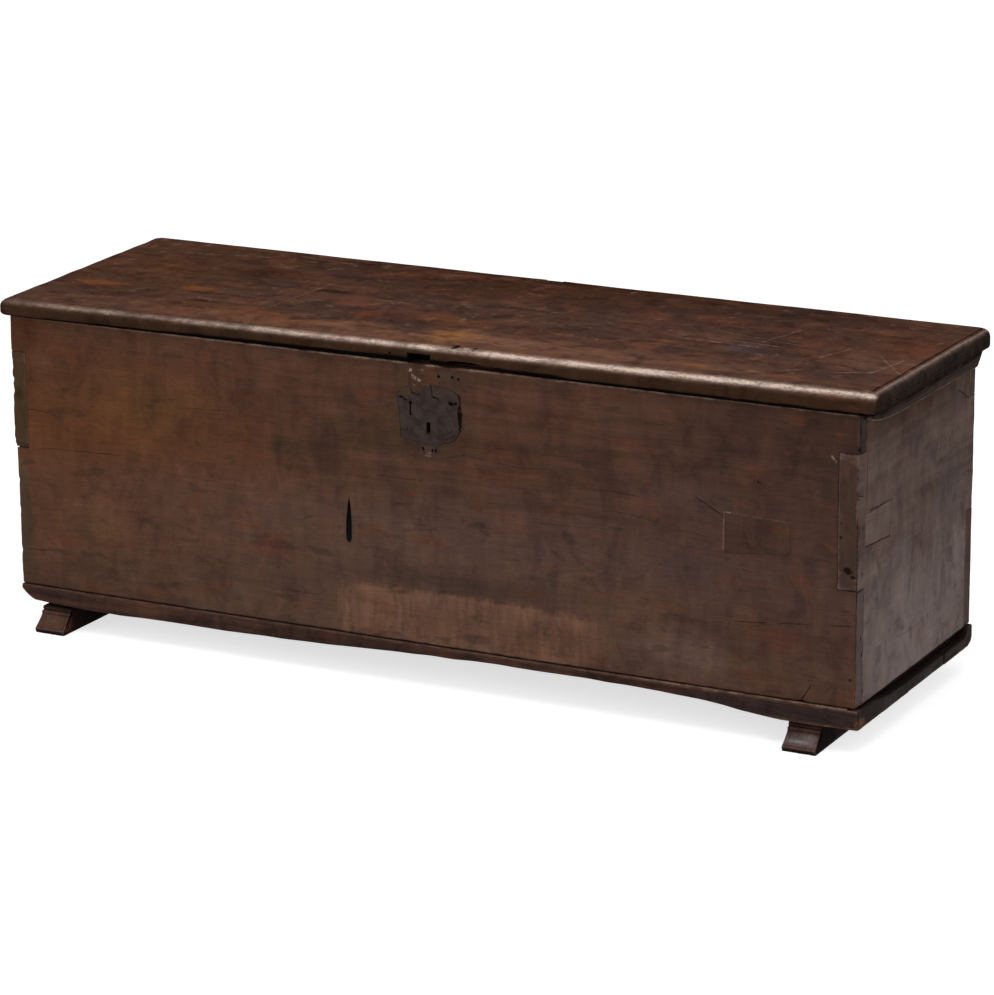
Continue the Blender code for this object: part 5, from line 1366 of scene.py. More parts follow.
# A let-in repair: a unit block stretched between its four corners.
def letInPatch(name, corners, face, node, material):
    s = patchSet
    step = np.array(s["fine"])
    fine = np.unique(np.concatenate([step, np.linspace(0.12, 0.88, 14), 1 - step]))
    lines = (fine, np.array(s["layers"]), fine)

    def shape(p):
        u, w, v = p[:, 0], p[:, 1], p[:, 2]
        c = [np.array(k, float) for k in corners]
        flat = (c[0] * ((1 - u) * (1 - v))[:, None] + c[1] * (u * (1 - v))[:, None]
                + c[2] * (u * v)[:, None] + c[3] * ((1 - u) * v)[:, None])
        deep = s["deep"] - w * (s["deep"] + s["proud"])
        edge = np.minimum(np.minimum(u, 1 - u), np.minimum(v, 1 - v))
        deep = deep + np.where(w > 0.97, 0.5 * np.clip(1 - edge / 0.02, 0, 1) ** 2, 0.0)
        wave = 0.18 * bumpsOver(flat[:, 0], flat[:, 1], (30.0, 14.0), 17)
        return np.array([face(a, b, d) for (a, b), d in zip(flat, deep + wave * (w > 0.9))])

    piece = gridBlock(name, lines, lambda x, y, z: x > -1, shape)
    outwards(piece)
    for value in ("arris", "grimeAndShade"):
        setValue(piece, value, np.zeros(len(piece.data.vertices)))
    shade(piece)
    return settle(piece, "case", "patch_walnut", material, node)


frontBoard()
backBoard()
for side in ("left", "right"):
    endBoard(side)
letInPatch("frontRepairPatch", patchSet["frontCorners"], onFrontFace, "front_patch", woods["patchWalnut"])
letInPatch("endRepairPatch", patchSet["endCorners"], onRightFace, "end_patch", woods["endPatchWalnut"])
print("case boards made")


plankSet = {
    "top": -0.3, "under": -34.7, "end": 1556.0, "joints": (211.0, 370.0), "stepFrom": 1537.0, "cell": 7.0,
    "depths": (-34.7, -33.8, -32.2, -29, -24, -18, -12, -7, -3.5, -1.8, -0.9, -0.3),
    "wane": ((0, 6), (9, 16), (24, 26), (50, 28), (160, 31), (440, 29), (630, 24), (745, 18.5), (930, 15),
             (1110, 15), (1220, 17), (1290, 20), (1357, 28), (1426, 34), (1556, 34)),
    "step": ((-9, 2), (60, 4), (130, 13), (220, 16), (464, 16), (472, 2.5), (478, 1), (505, 0.6)),
    "backEdge": ((-18, -34.7), (-5, -28.7), (0, -18.7)),
    # frontShine: how pale the front top arris is along x, rubbed wear with a painted highlight.
    "frontShine": ((0, 0.3), (700, 0.25), (1150, 0.45), (1250, 0.9), (1556, 0.9)),
}


def bottomPlank(name, node, y0, y1, seed, front=False, back=False):
    s = plankSet
    top, under = s["top"], s["under"]
    end = s["end"] if front or back else s["end"] - 1.0
    lines = (gridLines(0.0, end, s["cell"], (s["stepFrom"],)), gridLines(y0, y1, s["cell"]),
             np.array(s["depths"]))
    walls = [wall(0, 0.0, 1, y0, y1, 3.0, 0.2, 0.2), wall(0, end, -1, y0, y1, 2.6, 0.3, 0.1)]
    if front:
        walls.append(wall(1, y0, 1, 0, end, 2.2, s["frontShine"], 0.15))
        chips = randomNicks(seed, 24, (10, y0, -20), (1540, y0, -20), (0, 1, 0.2), (5, 12), (0.5, 1.6))
    else:
        chips = randomNicks(seed, 12, (end, y0, -24), (end, y1, -24), (-1, 0, 0), (5, 10), (0.6, 1.6))
    if back:
        walls.append(wall(1, y1, -1, 0, end, 2.2, 0.2, 0.15))
    spec = {"plane": (0, 1), "faces": (under, top), "faceWear": (0.8, 1.0), "walls": walls}

    def shape(p):
        p = nick(wornEdges(p, spec), chips)
        depth = p[:, 2].copy()
        if front:
            edge = follow(s["wane"], p[:, 0]) + 0.8 * bumpsAlong(p[:, 0], 40.0, 3)
            reach = np.maximum(1.0, 3.6 * (35.0 - edge))
            limit = -edge - (-under - edge) * np.clip((p[:, 1] - y0) / reach, 0, 1)
            depth = top + (depth - top) * (limit - top) / (under - top)
            p[:, 1] += 0.7 * bumpsAlong(p[:, 0], 90.0, 6) * np.clip(1 - (p[:, 1] - y0) / 12, 0, 1)
        if back:
            limit = follow([(y1 + out, z) for out, z in s["backEdge"]], p[:, 1])
            depth = top + (depth - top) * (limit - top) / (under - top)
        step = -follow(s["step"], p[:, 1]) + 0.9 * bumps(p, (9.0, 16.0, 9.0), 5)
        low = depth.min()
        worn = low + (depth - low) * (step - low) / (top - low)
        p[:, 2] = np.where(p[:, 0] > s["stepFrom"] + 0.3, np.minimum(worn, top), depth)
        return p

    plank = gridBlock(name, lines, lambda x, y, z: x > -1, shape)
    markWearAndHighlights(plank, spec, 4.5)
    points = pointsOf(plank)
    x, y, z = points[:, 0], points[:, 1], points[:, 2]
    ledge = -follow(s["step"], y)
    onStep = np.clip(y / 20, 0, 1) * np.clip((x - 1536) / 4, 0, 1)
    # The step under the end board darkens: dirt and painted shade under the board's overhang.
    stepDirtAndShade = 2.4 * (np.clip(1 - (ledge - z - 1.5) / 3.0, 0, 1) * onStep)
    joint = np.maximum.reduce([np.clip(1 - np.abs(y - at) / 5, 0, 1) for at in s["joints"]])
    seam = np.clip(1 - (top - z) / 1.6, 0, 1) * np.clip((y + 3.6) / 1.0, 0, 1) * (2.4 * (x < s["stepFrom"]))
    grimeAndShade = np.maximum.reduce([valuesOf(plank, "grimeAndShade"), stepDirtAndShade, joint * 1.2, seam])
    setValue(plank, "grimeAndShade", np.clip(grimeAndShade, 0, 3))
    if front:
        lip = np.clip(1 - np.hypot(y - y0, ledge - z) / 3.4, 0, 1) * (x > s["stepFrom"])
        setValue(plank, "arris", np.maximum(valuesOf(plank, "arris"), lip))
    shade(plank, 38.0)
    return settle(plank, "case", "base_walnut", woods["baseWalnut"], node)


# The toe's outline runs from the runner's top down to the floor: (y, height over the floor).
runnerSet = {
    "height": 41.7, "width": 58.0, "toe": 28.0, "left": 40.0, "right": 1438.0, "wear": 0.5, "edge": 1.6,
    "stations": 15, "straight": (30, 467), "parts": 14,
    "moulding": ((0.5, 41.7), (0.5, 39.8), (-0.6, 39.2), (-1.7, 38.2), (-1.9, 37.0), (-1.2, 36.1),
                 (0.5, 35.6), (0.6, 34.9), (-1.9, 34.4), (-4.1, 33.7), (-5.3, 32.5), (-5.5, 31.1),
                 (-4.8, 29.9), (-4.5, 29.0)),
    "slopeFrom": (4.5, 29.0), "slopeDrop": 20.5, "slopeParts": 11, "slopeBend": 1.25,
    "tip": ((0.0, 7.4), (0.5, 6.4), (1.0, 4.6), (1.5, 2.6), (2.1, 0.9), (3.4, 0.0)),
    # The next entry marks the pale toe tip, bead and fillet: rubbed wear with painted highlights.
    "rubbedAndHighlight": ((-27.8, 8.6, 0.22), (-5.3, 31.8, 0.35), (-1.8, 37.6, 0.22)),
}


def runnerHalf():
    s = runnerSet
    toe, parts = s["toe"], s["slopeParts"]
    out, height = s["slopeFrom"]
    slope = []
    for k in range(1, parts + 1):
        share = k / parts
        slope.append((-out - (toe - out) * share ** s["slopeBend"], height - s["slopeDrop"] * share))
    return [*s["moulding"], *slope, *((-toe + back, z) for back, z in s["tip"])]


def runner(side, node):
    s = runnerSet
    floor = -chest["origin"][2]
    x0, width, r = s[side], s["width"], s["edge"]
    half = runnerHalf()
    start, stop = s["straight"]
    steps = [(stop - start) * k / s["parts"] for k in range(s["parts"] + 1)]
    loop = [(y, floor + z) for y, z in half]
    loop += [(start + along, floor) for along in steps]
    loop += [(chest["depth"] - y, floor + z) for y, z in reversed(half)]
    loop += [(stop - along, floor + s["height"]) for along in steps]
    loop = np.array(loop)
    inward = inwardOf(loop)
    rounded = [0, 0.25 * r, 0.6 * r, r, 1.8 * r]
    stations = [*rounded, *np.linspace(6, width - 6, s["stations"]), *(width - v for v in reversed(rounded))]
    sections = []
    for along in stations:
        edge = min(along, width - along)
        drawn = r - math.sqrt(max(0.0, r * r - (r - edge) ** 2)) if edge < r else 0.0
        ring = loop + inward * drawn
        points = np.stack([np.full(len(ring), x0 + along), ring[:, 0], ring[:, 1]], 1)
        push = s["wear"] * bumps(points, (12.0, 14.0, 9.0), 21)
        points[:, 1:] += inward * np.abs(push)[:, None]
        sections.append(points)
    piece = loftObject("sledRunner" + side.capitalize(), sections)
    points = pointsOf(piece)
    x, y, z = points[:, 0], points[:, 1], points[:, 2]
    edge = np.minimum(x - x0, x0 + width - x)
    out, up = np.minimum(y, chest["depth"] - y), z - floor
    toes = np.clip(1 - (out + s["toe"]) / 30, 0, 1)
    rubbedAndHighlight = np.clip(1 - edge / 4, 0, 1) * 0.22
    for atY, atZ, share in s["rubbedAndHighlight"]:
        rubbedAndHighlight = np.maximum(rubbedAndHighlight, share * np.clip(1 - np.hypot(out - atY, up - atZ) / 2.2, 0, 1))
    setValue(piece, "arris", rubbedAndHighlight * toes * (edge > 0.2))
    # Painted shade under the board and at the floor, and a dark line in the moulding's groove.
    underBoard = 0.8 * np.clip((z + 43) / 6, 0, 1)
    groove = 0.9 * np.clip(1 - np.hypot(out - 0.5, up - 35.2) / 1.6, 0, 1)
    foot = 1.6 * np.clip(1 - (up - 4.5) / 2.5, 0, 1)
    setValue(piece, "grimeAndShade", np.maximum.reduce([underBoard, groove, foot]))
    shade(piece, 40.0)
    return settle(piece, "case", "base_walnut", woods["runnerWalnut"], node)


bottomPlank("bottomPlankFront", "bottom_plank_front", -4.0, 210.7, 81, front=True)
bottomPlank("bottomPlankMiddle", "bottom_plank_middle", 211.0, 369.7, 82)
bottomPlank("bottomPlankBack", "bottom_plank_back", 370.0, 496.0, 83, back=True)
runner("left", "left_runner")
runner("right", "right_runner")
print("planks and runners made")


# Edge tables are (height, inset). Cracks are (path, width, depth).
lidSet = {
    "x0": -22.0, "x1": 1578.0, "y0": -9.0, "y1": 495.0, "under": 474.3, "thick": 33.7, "corner": 11.2,
    "rise": ((-6.0, 5.0), (2.0, -1.0)),  # left front and back, right front and back
    "levels": (0, 1, 2.2, 4, 7, 11, 15, 19, 21.5, 24, 26, 27.8, 29.4, 30.8, 31.9, 32.8, 33.4, 33.7),
    "front": ((0, 5.0), (1, 3.0), (2.2, 1.7), (4, 0.7), (7, 0.0), (19, 0.0), (21.5, 0.4), (24, 1.4),
              (26, 2.6), (27.8, 4.1), (29.4, 6.0), (30.8, 8.1), (31.9, 10.2), (32.8, 12.4), (33.4, 14.5),
              (33.7, 17.0)),
    "left": ((0, 6.0), (1, 3.6), (2.2, 2.0), (4, 0.8), (7, 0.0), (19, 0.0), (24, 0.5), (27.8, 1.8),
             (30.8, 4.2), (32.8, 7.5), (33.7, 12.0)),
    "right": ((0, 6.0), (1, 3.6), (2.2, 2.0), (4, 0.8), (7, 0.0), (19, 0.0), (24, 0.6), (27.8, 2.2),
              (30.8, 5.0), (32.8, 9.0), (33.7, 14.0)),
    "back": ((0, 1.0), (2.2, 0.0), (28, 0.0), (32, 1.0), (33.7, 3.0)),
    "lift": ((0, 0.0), (2, 0.0), (7, 0.2), (21, 0.6), (28, 0.85), (32, 0.95), (33.7, 1.0)),
    "noseWear": ((90, 0), (380, 1), (860, 1), (1300, 0)),
    "cell": (4.4, 8.0), "nearEdges": (0.8, 2.0, 4.0, 7.0, 11.0, 16.0, 23.0, 32.0),
    "hasp": (769, 811, 471, 492.3),
    "split": ((808, 470), (1010, 470), (1007, 475), (960, 479.5), (900, 485.5), (886, 487), (862, 487.5),
              (846, 486.5), (840, 481), (826, 478.2), (808, 478.4)),
    "backChip": ((767, 502), (804, 502), (802, 488), (796, 486), (788, 487), (780, 485), (770, 487)),
    "holes": (((737.0, -9.0, 488.0), (0, 1, 0), 2.6, 22.0, 10, -4.0),
              ((849.0, 4.0, 508.0), (0.0, 0.25, -1.0), 6.2, 9.0, 14, -5.0, 0.55),
              ((884.0, 1.0, 507.0), (0.0, 0.3, -1.0), 4.0, 5.0, 10, -5.0, 0.6)),
    "cracks": (
        (((-14, 343), (90, 318), (214, 282), (330, 310), (449, 339)), 1.3, 4),
        (((1120, 330), (1210, 326), (1290, 333)), 0.9, 2),
        (((620, 232), (720, 226), (830, 231)), 0.9, 2),
        (((1330, 410), (1430, 404), (1560, 409)), 1.0, 3),
        (((60, 90), (150, 94), (240, 88)), 0.8, 1.6),
        (((860, 40), (930, 36), (990, 41)), 0.9, 2),
        (((350, 430), (520, 424), (640, 431)), 0.9, 2)),
    "quirk": 1563.5,
    # The next two tables give the painted highlight along the nose's crest, with rubbed wear: its strength by
    # x and how broken it is.
    "crestShine": ((-22, 0.04), (20, 0.15), (120, 0.22), (260, 0.34), (420, 0.45), (800, 0.70), (1100, 1.0),
                   (1400, 1.0), (1578, 1.0)),
    "crestBreaks": ((0, 1.0), (900, 0.9), (1250, 0.35), (1578, 0.2)),
    # The next table gives, by x, the height of the painted shadow under the nose.
    "noseShadeLine": ((-22, 0.0), (100, 1.5), (300, 4.0), (500, 6.5), (760, 9.0), (850, 8.5), (1010, 6.0),
                 (1100, 4.0), (1578, 3.0)),
}


def lidRise(x, y):
    s = np.clip((np.asarray(x) - lidSet["x0"]) / (lidSet["x1"] - lidSet["x0"]), 0, 1)
    t = np.clip(np.asarray(y) / chest["depth"], 0, 1)
    (lf, lb), (rf, rb) = lidSet["rise"]
    return (lf * (1 - s) + rf * s) * (1 - t) + (lb * (1 - s) + rb * s) * t


def onLidTop(a, b, deep):
    return (a, b, lidSet["under"] + lidSet["thick"] + float(lidRise(a, b)) - deep)


def lidShape(p):
    s = lidSet
    out = p.copy()
    x, y, height = p[:, 0], p[:, 1], p[:, 2]
    dx0, dx1, dy0, dy1 = x - s["x0"], s["x1"] - x, y - s["y0"], s["y1"] - y
    r = s["corner"]
    for across, along in ((dx0, dy0), (dx1, dy0), (dx0, dy1), (dx1, dy1)):  # plan corners, square to round
        a, b = r - across, r - along
        near = (a > 0) & (b > 0)
        scale = np.where(near, np.maximum(a, b) / np.where(near, np.hypot(a, b), 1.0), 1.0)
        out[:, 0] += np.where(near, a * (1 - scale), 0.0) * (1.0 if across is dx0 else -1.0)
        out[:, 1] += np.where(near, b * (1 - scale), 0.0) * (1.0 if along is dy0 else -1.0)
    longWear = 1 + 0.22 * bumpsAlong(x, 70.0, 2) + 0.12 * bumpsAlong(x, 15.0, 7)
    endWear = 1 + 0.12 * bumpsAlong(y, 40.0, 9)
    for axis, distance, table, way in ((0, dx0, "left", 1), (0, dx1, "right", -1), (1, dy0, "front", 1),
                                       (1, dy1, "back", -1)):
        inset = follow(s[table], height) * (longWear if axis == 1 else endWear)
        if table == "front":  # the nose is worn away underneath between the left third and the split
            inset = inset + 5.0 * np.clip(1 - height / 9.5, 0, 1) * follow(s["noseWear"], x)
        out[:, axis] += way * inset * np.clip(1 - distance / 70.0, 0, 1) ** 1.5
    out[:, 2] = s["under"] + height + follow(s["lift"], height) * lidRise(x, y)
    top = np.clip((height - 20) / 13.7, 0, 1)
    waves = 0.45 * bumpsOver(x, y, (130.0, 34.0), 3) + 0.2 * bumpsOver(x, y, (40.0, 9.0), 5) - 0.3
    out[:, 2] += top * waves
    out[:, 1] += 0.35 * bumps(p, (38.0, 300.0, 9.0), 14) * np.clip(1 - dy0 / 4, 0, 1)
    return nick(out, lidChips())


def lidChips():
    top = lidSet["under"] + 29.5
    chips = randomNicks(91, 46, (-10, -6, top), (1565, -6, top + 1), (0, 0.7, -0.7), (5, 13), (0.6, 2.0))
    chips += randomNicks(92, 20, (0, -9, 480), (1560, -9, 480), (0, 0.9, 0.3), (4, 9), (0.4, 1.2))
    chips += randomNicks(93, 16, (1575, 0, top), (1575, 480, top - 1), (-0.7, 0, -0.7), (5, 12), (0.5, 1.8))
    chips += randomNicks(94, 14, (-18, 0, top), (-18, 480, top + 4), (0.7, 0, -0.7), (3, 8), (0.2, 0.7))
    draw = np.random.RandomState(95)
    for _ in range(70):
        x, y = draw.uniform(20, 1540), draw.uniform(15, 470)
        chips.append((onLidTop(x, y, 0.0), draw.uniform(7, 15), draw.uniform(0.25, 0.7), (0, 0, -1)))
    chips += [((60, -8, top - 1), 15, 2.4, (0, 0.6, -0.8)), ((150, -8, top), 10, 1.6, (0, 0.6, -0.8)),
              ((1558, -7, top), 14, 2.2, (-0.3, 0.6, -0.7)), ((700, -7, top + 1), 12, 1.6, (0, 0.5, -0.8))]
    return chips


def lidCuts():
    s = lidSet
    cuts = [prismCutter(boxOutline(*s["hasp"]), "Y", -15.0, 17.0, 0.6, 2, 3.0),
            prismCutter(s["split"], "Y", -15.0, 19.0, 0.9, 5, 4.0)]
    cuts += [roundCutter(*hole) for hole in s["holes"]]
    quirk = []
    for y in np.linspace(-20, 520, 28):
        x = s["quirk"] + 0.5 * math.sin(y / 37)
        top = onLidTop(x, y, 0.0)[2]
        quirk.append([(x - 1.5, y, top + 1.5), (x + 1.5, y, top + 1.5), (x + 0.3, y, top - 2.6),
                      (x - 0.3, y, top - 2.6)])
    cuts.append(loftObject("cutter", quirk))
    cuts += crackCutters(s["cracks"], onLidTop, 0.9, 80)
    cuts.append(prismCutter(s["backChip"], "Z", 508.6, 520.0, 0.6, 9, 3.0))
    y = hingeSet["lidY"]
    reach, half, deep = hingeSet["lidSlot"]
    for x in hingeSet["places"]:
        top = onLidTop(x, y, 0.0)[2]
        slot = boxOutline(x - reach, x + reach, y - half, y + half)
        cuts.append(prismCutter(slot, "Z", top - deep, top + 6.0))
    return cuts


def lidBoard():
    s = lidSet
    lines = (gridLines(s["x0"], s["x1"], s["cell"][0], (), s["nearEdges"]),
             gridLines(s["y0"], s["y1"], s["cell"][1], (), s["nearEdges"]), np.array(s["levels"], float))
    lid = gridBlock("lidPlank", lines, lambda x, y, z: x > -1e3, lidShape)
    cutAway(lid, lidCuts())
    markLid(lid)
    shade(lid, 35.0)
    return settle(lid, "lid", "lid_walnut", woods["lidWalnut"], "lid_board")


def markLid(lid):
    s = lidSet
    points = pointsOf(lid)
    x, y, height = points[:, 0], points[:, 1], points[:, 2] - s["under"]
    # A painted highlight along the nose's crest, with rubbed wear, and pale lines near the ends.
    over = points[:, 2] - (s["under"] + 30.0 + lidRise(x, y))
    crest = np.hypot((y + 1.0) / 7.5, over / 3.5)
    chatter = 0.95 + 0.55 * bumpsAlong(x, 38.0, 3) + 0.45 * bumpsAlong(x, 9.0, 4)
    broken = 1 + (np.clip(chatter, 0.1, 1.5) - 1) * follow(s["crestBreaks"], x)
    shine = np.exp(-crest ** 2) * follow(s["crestShine"], x) * broken * (y < 24)
    endAway = np.minimum(np.abs(x + 14), np.abs(x - 1571))
    shine = np.maximum(shine, 0.30 * np.clip(1 - endAway / 2.5, 0, 1) * (np.abs(over) < 3) * (y > 10))
    setValue(lid, "arris", np.clip(shine, 0, 1))
    # Painted shade: a black shadow line under the nose, the underside near the front, and the hollow round
    # the split. Also a dark line in the quirk and ends darker lower down.
    line = follow(s["noseShadeLine"], x)
    splitShade = (y > -7.6) & (y < 20) & (height > 0.5) & (height < 19) & (x > 764) & (x < 1012)
    endFace = np.clip(1 - np.minimum(x - s["x0"], s["x1"] - x) / 8, 0, 1)
    setValue(lid, "grimeAndShade", np.maximum.reduce([
        2.2 * np.clip(1 - (height - line) / 2.2, 0, 1) * np.clip((3 - y) / 9, 0.0, 1),
        0.45 * (height < 4) * np.clip((22 - y) / 22, 0, 1),
        4.5 * splitShade,
        0.8 * np.clip(1 - np.abs(x - s["quirk"]) / 3, 0, 1) * (over > 0),
        0.35 * endFace * np.clip(-over / 8, 0, 1)]))


cleatSet = {
    "width": 15.0, "gap": 1.0, "edge": 1.4, "front": 24, "back": 489, "nails": (70, 250, 440),
    "drops": ((24, 12), (34, 16.5), (48, 20), (72, 24.5), (100, 28), (160, 31), (489, 34)),
}


def lidCleat(side, face, way, node):
    s = cleatSet
    top, radius = chest["height"], s["edge"]
    stations = [24, 24.4, 25.2, 26.5, *np.linspace(30, 484, 62), 486.5, 487.8, 488.6, 489]
    sections = []
    for y in stations:
        edge = min(y - s["front"], s["back"] - y)
        drawn = max(0.0, radius - math.sqrt(max(0.0, radius ** 2 - max(0.0, radius - edge) ** 2)))
        low = top - follow(s["drops"], y) + drawn
        near, far = s["gap"] + drawn, s["gap"] + s["width"] - drawn
        profile = [(near, top), (near, low + 1), (near + 0.3, low + 0.3), (near + 1, low)]
        profile += [(near + 1 + (2.2 * k / 3), low) for k in range(1, 4)]
        for k in range(1, 9):
            t = k / 9
            profile.append((near + 4 + (far - near - 4) * t, low + (top - 1.5 - low) * t ** 1.08))
        profile += [(far - 0.3, top - 1.9), (far, top - 1.2), (far, top)]
        ring = np.array([(face + way * a, y, b) for a, b in profile])
        push = 0.35 * bumps(ring, (9.0, 26.0, 9.0), 33)
        ring[3:-3, 0] += way * push[3:-3]
        sections.append(ring)
    piece = loftObject("lidCleat" + side.capitalize(), sections)
    cutAway(piece, [roundCutter((face + way * 9.0, y, top - 24.0), (0, 0, 1), 3.4, 7.0) for y in s["nails"]])
    points = pointsOf(piece)
    drop = follow(s["drops"], points[:, 1])
    # A pale lower edge: rubbed wear with a painted highlight.
    setValue(piece, "arris", 0.55 * np.clip(1 - (points[:, 2] - top + drop) / 3, 0, 1))
    setValue(piece, "grimeAndShade", 1.7 * np.clip(1 - (top - points[:, 2]) / 18, 0, 1))
    shade(piece, 38.0)
    return settle(piece, "lid", "walnut", woods["cleatWalnut"], node)


lidBoard()
lidCleat("left", -4.5, -1, "left_lid_cleat")
lidCleat("right", 1550.0, 1, "right_lid_cleat")
print("lid made")


# Extra edges in an even grid, so that the plate can dish.
def sliceEvenly(obj, spans, step):
    bm = bmesh.new()
    bm.from_mesh(obj.data)
    for axis, low, high in spans:
        for value in np.arange(low, high, step):
            at, way = [0.0, 0.0, 0.0], [0.0, 0.0, 0.0]
            at[axis] = toWorld((value, value, value))[axis]
            way[axis] = 1.0
            parts = bm.verts[:] + bm.edges[:] + bm.faces[:]
            bmesh.ops.bisect_plane(bm, geom=parts, dist=1e-7, plane_co=at, plane_no=way)
    bm.to_mesh(obj.data)
    bm.free()


def lockPlate():
    s = lockSet
    front, back = s["inset"], s["inset"] + s["thick"]
    ring = np.array(finerOutline(lockOutline(), 2.6))
    inward = -inwardOf(ring)
    torn = 0.35 + 0.35 * bumpsOver(ring[:, 0], ring[:, 1], (6.0, 6.0), 3)
    ring = ring + inward * torn[:, None]
    sections = []
    for y, drawn in ((back, 0.0), (front + 0.5, 0.0), (front + 0.15, 0.25), (front, 0.75)):
        sections.append([(x, y, z) for x, z in ring + inward * drawn])
    plate = loftObject("lockPlateShield", sections)
    leftCrack, rightCrack = s["cracks"]
    cutAway(plate, [prismCutter(s["keyhole"], "Y", -5.0, 5.0, 0.25, 4, 2.0),
                    prismCutter(s["stapleSlot"], "Y", -5.0, 5.0, 0.2, 7, 3.0),
                    prismCutter(s["wornCorner"], "Y", -5.0, 1.0, 0.5, 5, 2.0),
                    wedgeCutter(*leftCrack, onFrontFace, 0.6, 92),
                    wedgeCutter(*rightCrack, onFrontFace, 0.3, 93)])
    sliceEvenly(plate, ((0, 744.0, 860.0), (2, 322.0, 442.0)), 3.0)
    points = pointsOf(plate)
    x, z = points[:, 0], points[:, 2]
    facing = points[:, 1] < front + 0.4
    dish = 0.30 * bumpsOver(x, z, (17.0, 17.0), 6) + 0.16 * bumpsOver(x, z, (7.0, 7.0), 2)
    for atX, atZ, radius, rise in s["dimples"]:
        dish -= rise * np.exp(-((np.hypot(x - atX, z - atZ) - radius) / 1.8) ** 2)
    moved = points.copy()
    moved[:, 1] += np.where(facing, np.clip(dish + 0.25, -0.35, 0.9), 0.0)
    plate.data.vertices.foreach_set("co", toWorld(moved).astype(np.float32).ravel())
    plate.data.update()
    edge = np.full(len(points), 1e6)
    for p in ring:
        edge = np.minimum(edge, np.hypot(x - p[0], z - p[1]))
    # A faint pale rim along the plate's edge: painted highlight with wear.
    setValue(plate, "arris", 0.12 * np.clip(1 - edge / 2.6, 0, 1) * facing)
    shade(plate, 40.0)
    return settle(plate, "case", "wrought_iron", irons["plateIron"], "lock_plate")


lockPlate()

# Each nail is (place, way in, head's radius, how deep it is sunk).
intoRight, intoLeft, intoFront, intoBack, upwards = (-1, 0, 0), (1, 0, 0), (0, 1, 0), (0, -1, 0), (0, 0, 1)
nailSet = {
    "case": [((1550.0, 19.0, 289.0), intoRight, 3.2, 2.0), ((1550.0, 19.5, 215.0), intoRight, 3.2, 2.0),
             ((1541.0, 0.0, 47.0), intoFront, 2.4, 2.2)]
    + [((-4.5, 15.0, z), intoLeft, 3.2, 1.8) for z in (272.0, 330.0, 388.0)]
    + [((x, 497.0, z), intoBack, 3.2, 1.8) for x in (9.5, 1533.5) for z in (100.0, 436.0)]
    + [((-4.5, 481.5, 266.0), intoLeft, 3.2, 1.8), ((1550.0, 481.5, 266.0), intoRight, 3.2, 1.8)]
    + [((x, y, -34.7), upwards, 3.2, 0.4) for x in (9.5, 1527.0) for y in (105.0, 290.0, 430.0)]
    + [((x, y, -76.5), upwards, 3.2, 1.4) for x in (69.0, 1467.0) for y in (150.0, 420.0)]
    + [((x, 0.2, z), intoFront, 3.4, -0.5) for x, z in ((759.5, 363.5), (841.0, 368.0))]
    + [((x, 2.0, z), intoFront, 3.2, 0.6) for x, z in ((756.0, 416.0), (842.5, 420.0))],
    "lid": [((x, y, 452.0), upwards, 3.0, 3.6) for x in (-13.5, 1559.0) for y in (70.0, 250.0, 440.0)],
    "look": {"Facets": 9, "Doming": 0.42, "Shank Radius": 0.42, "Shank Length": 7.0, "Roughness": 0.22,
             "Seed": 4},
}


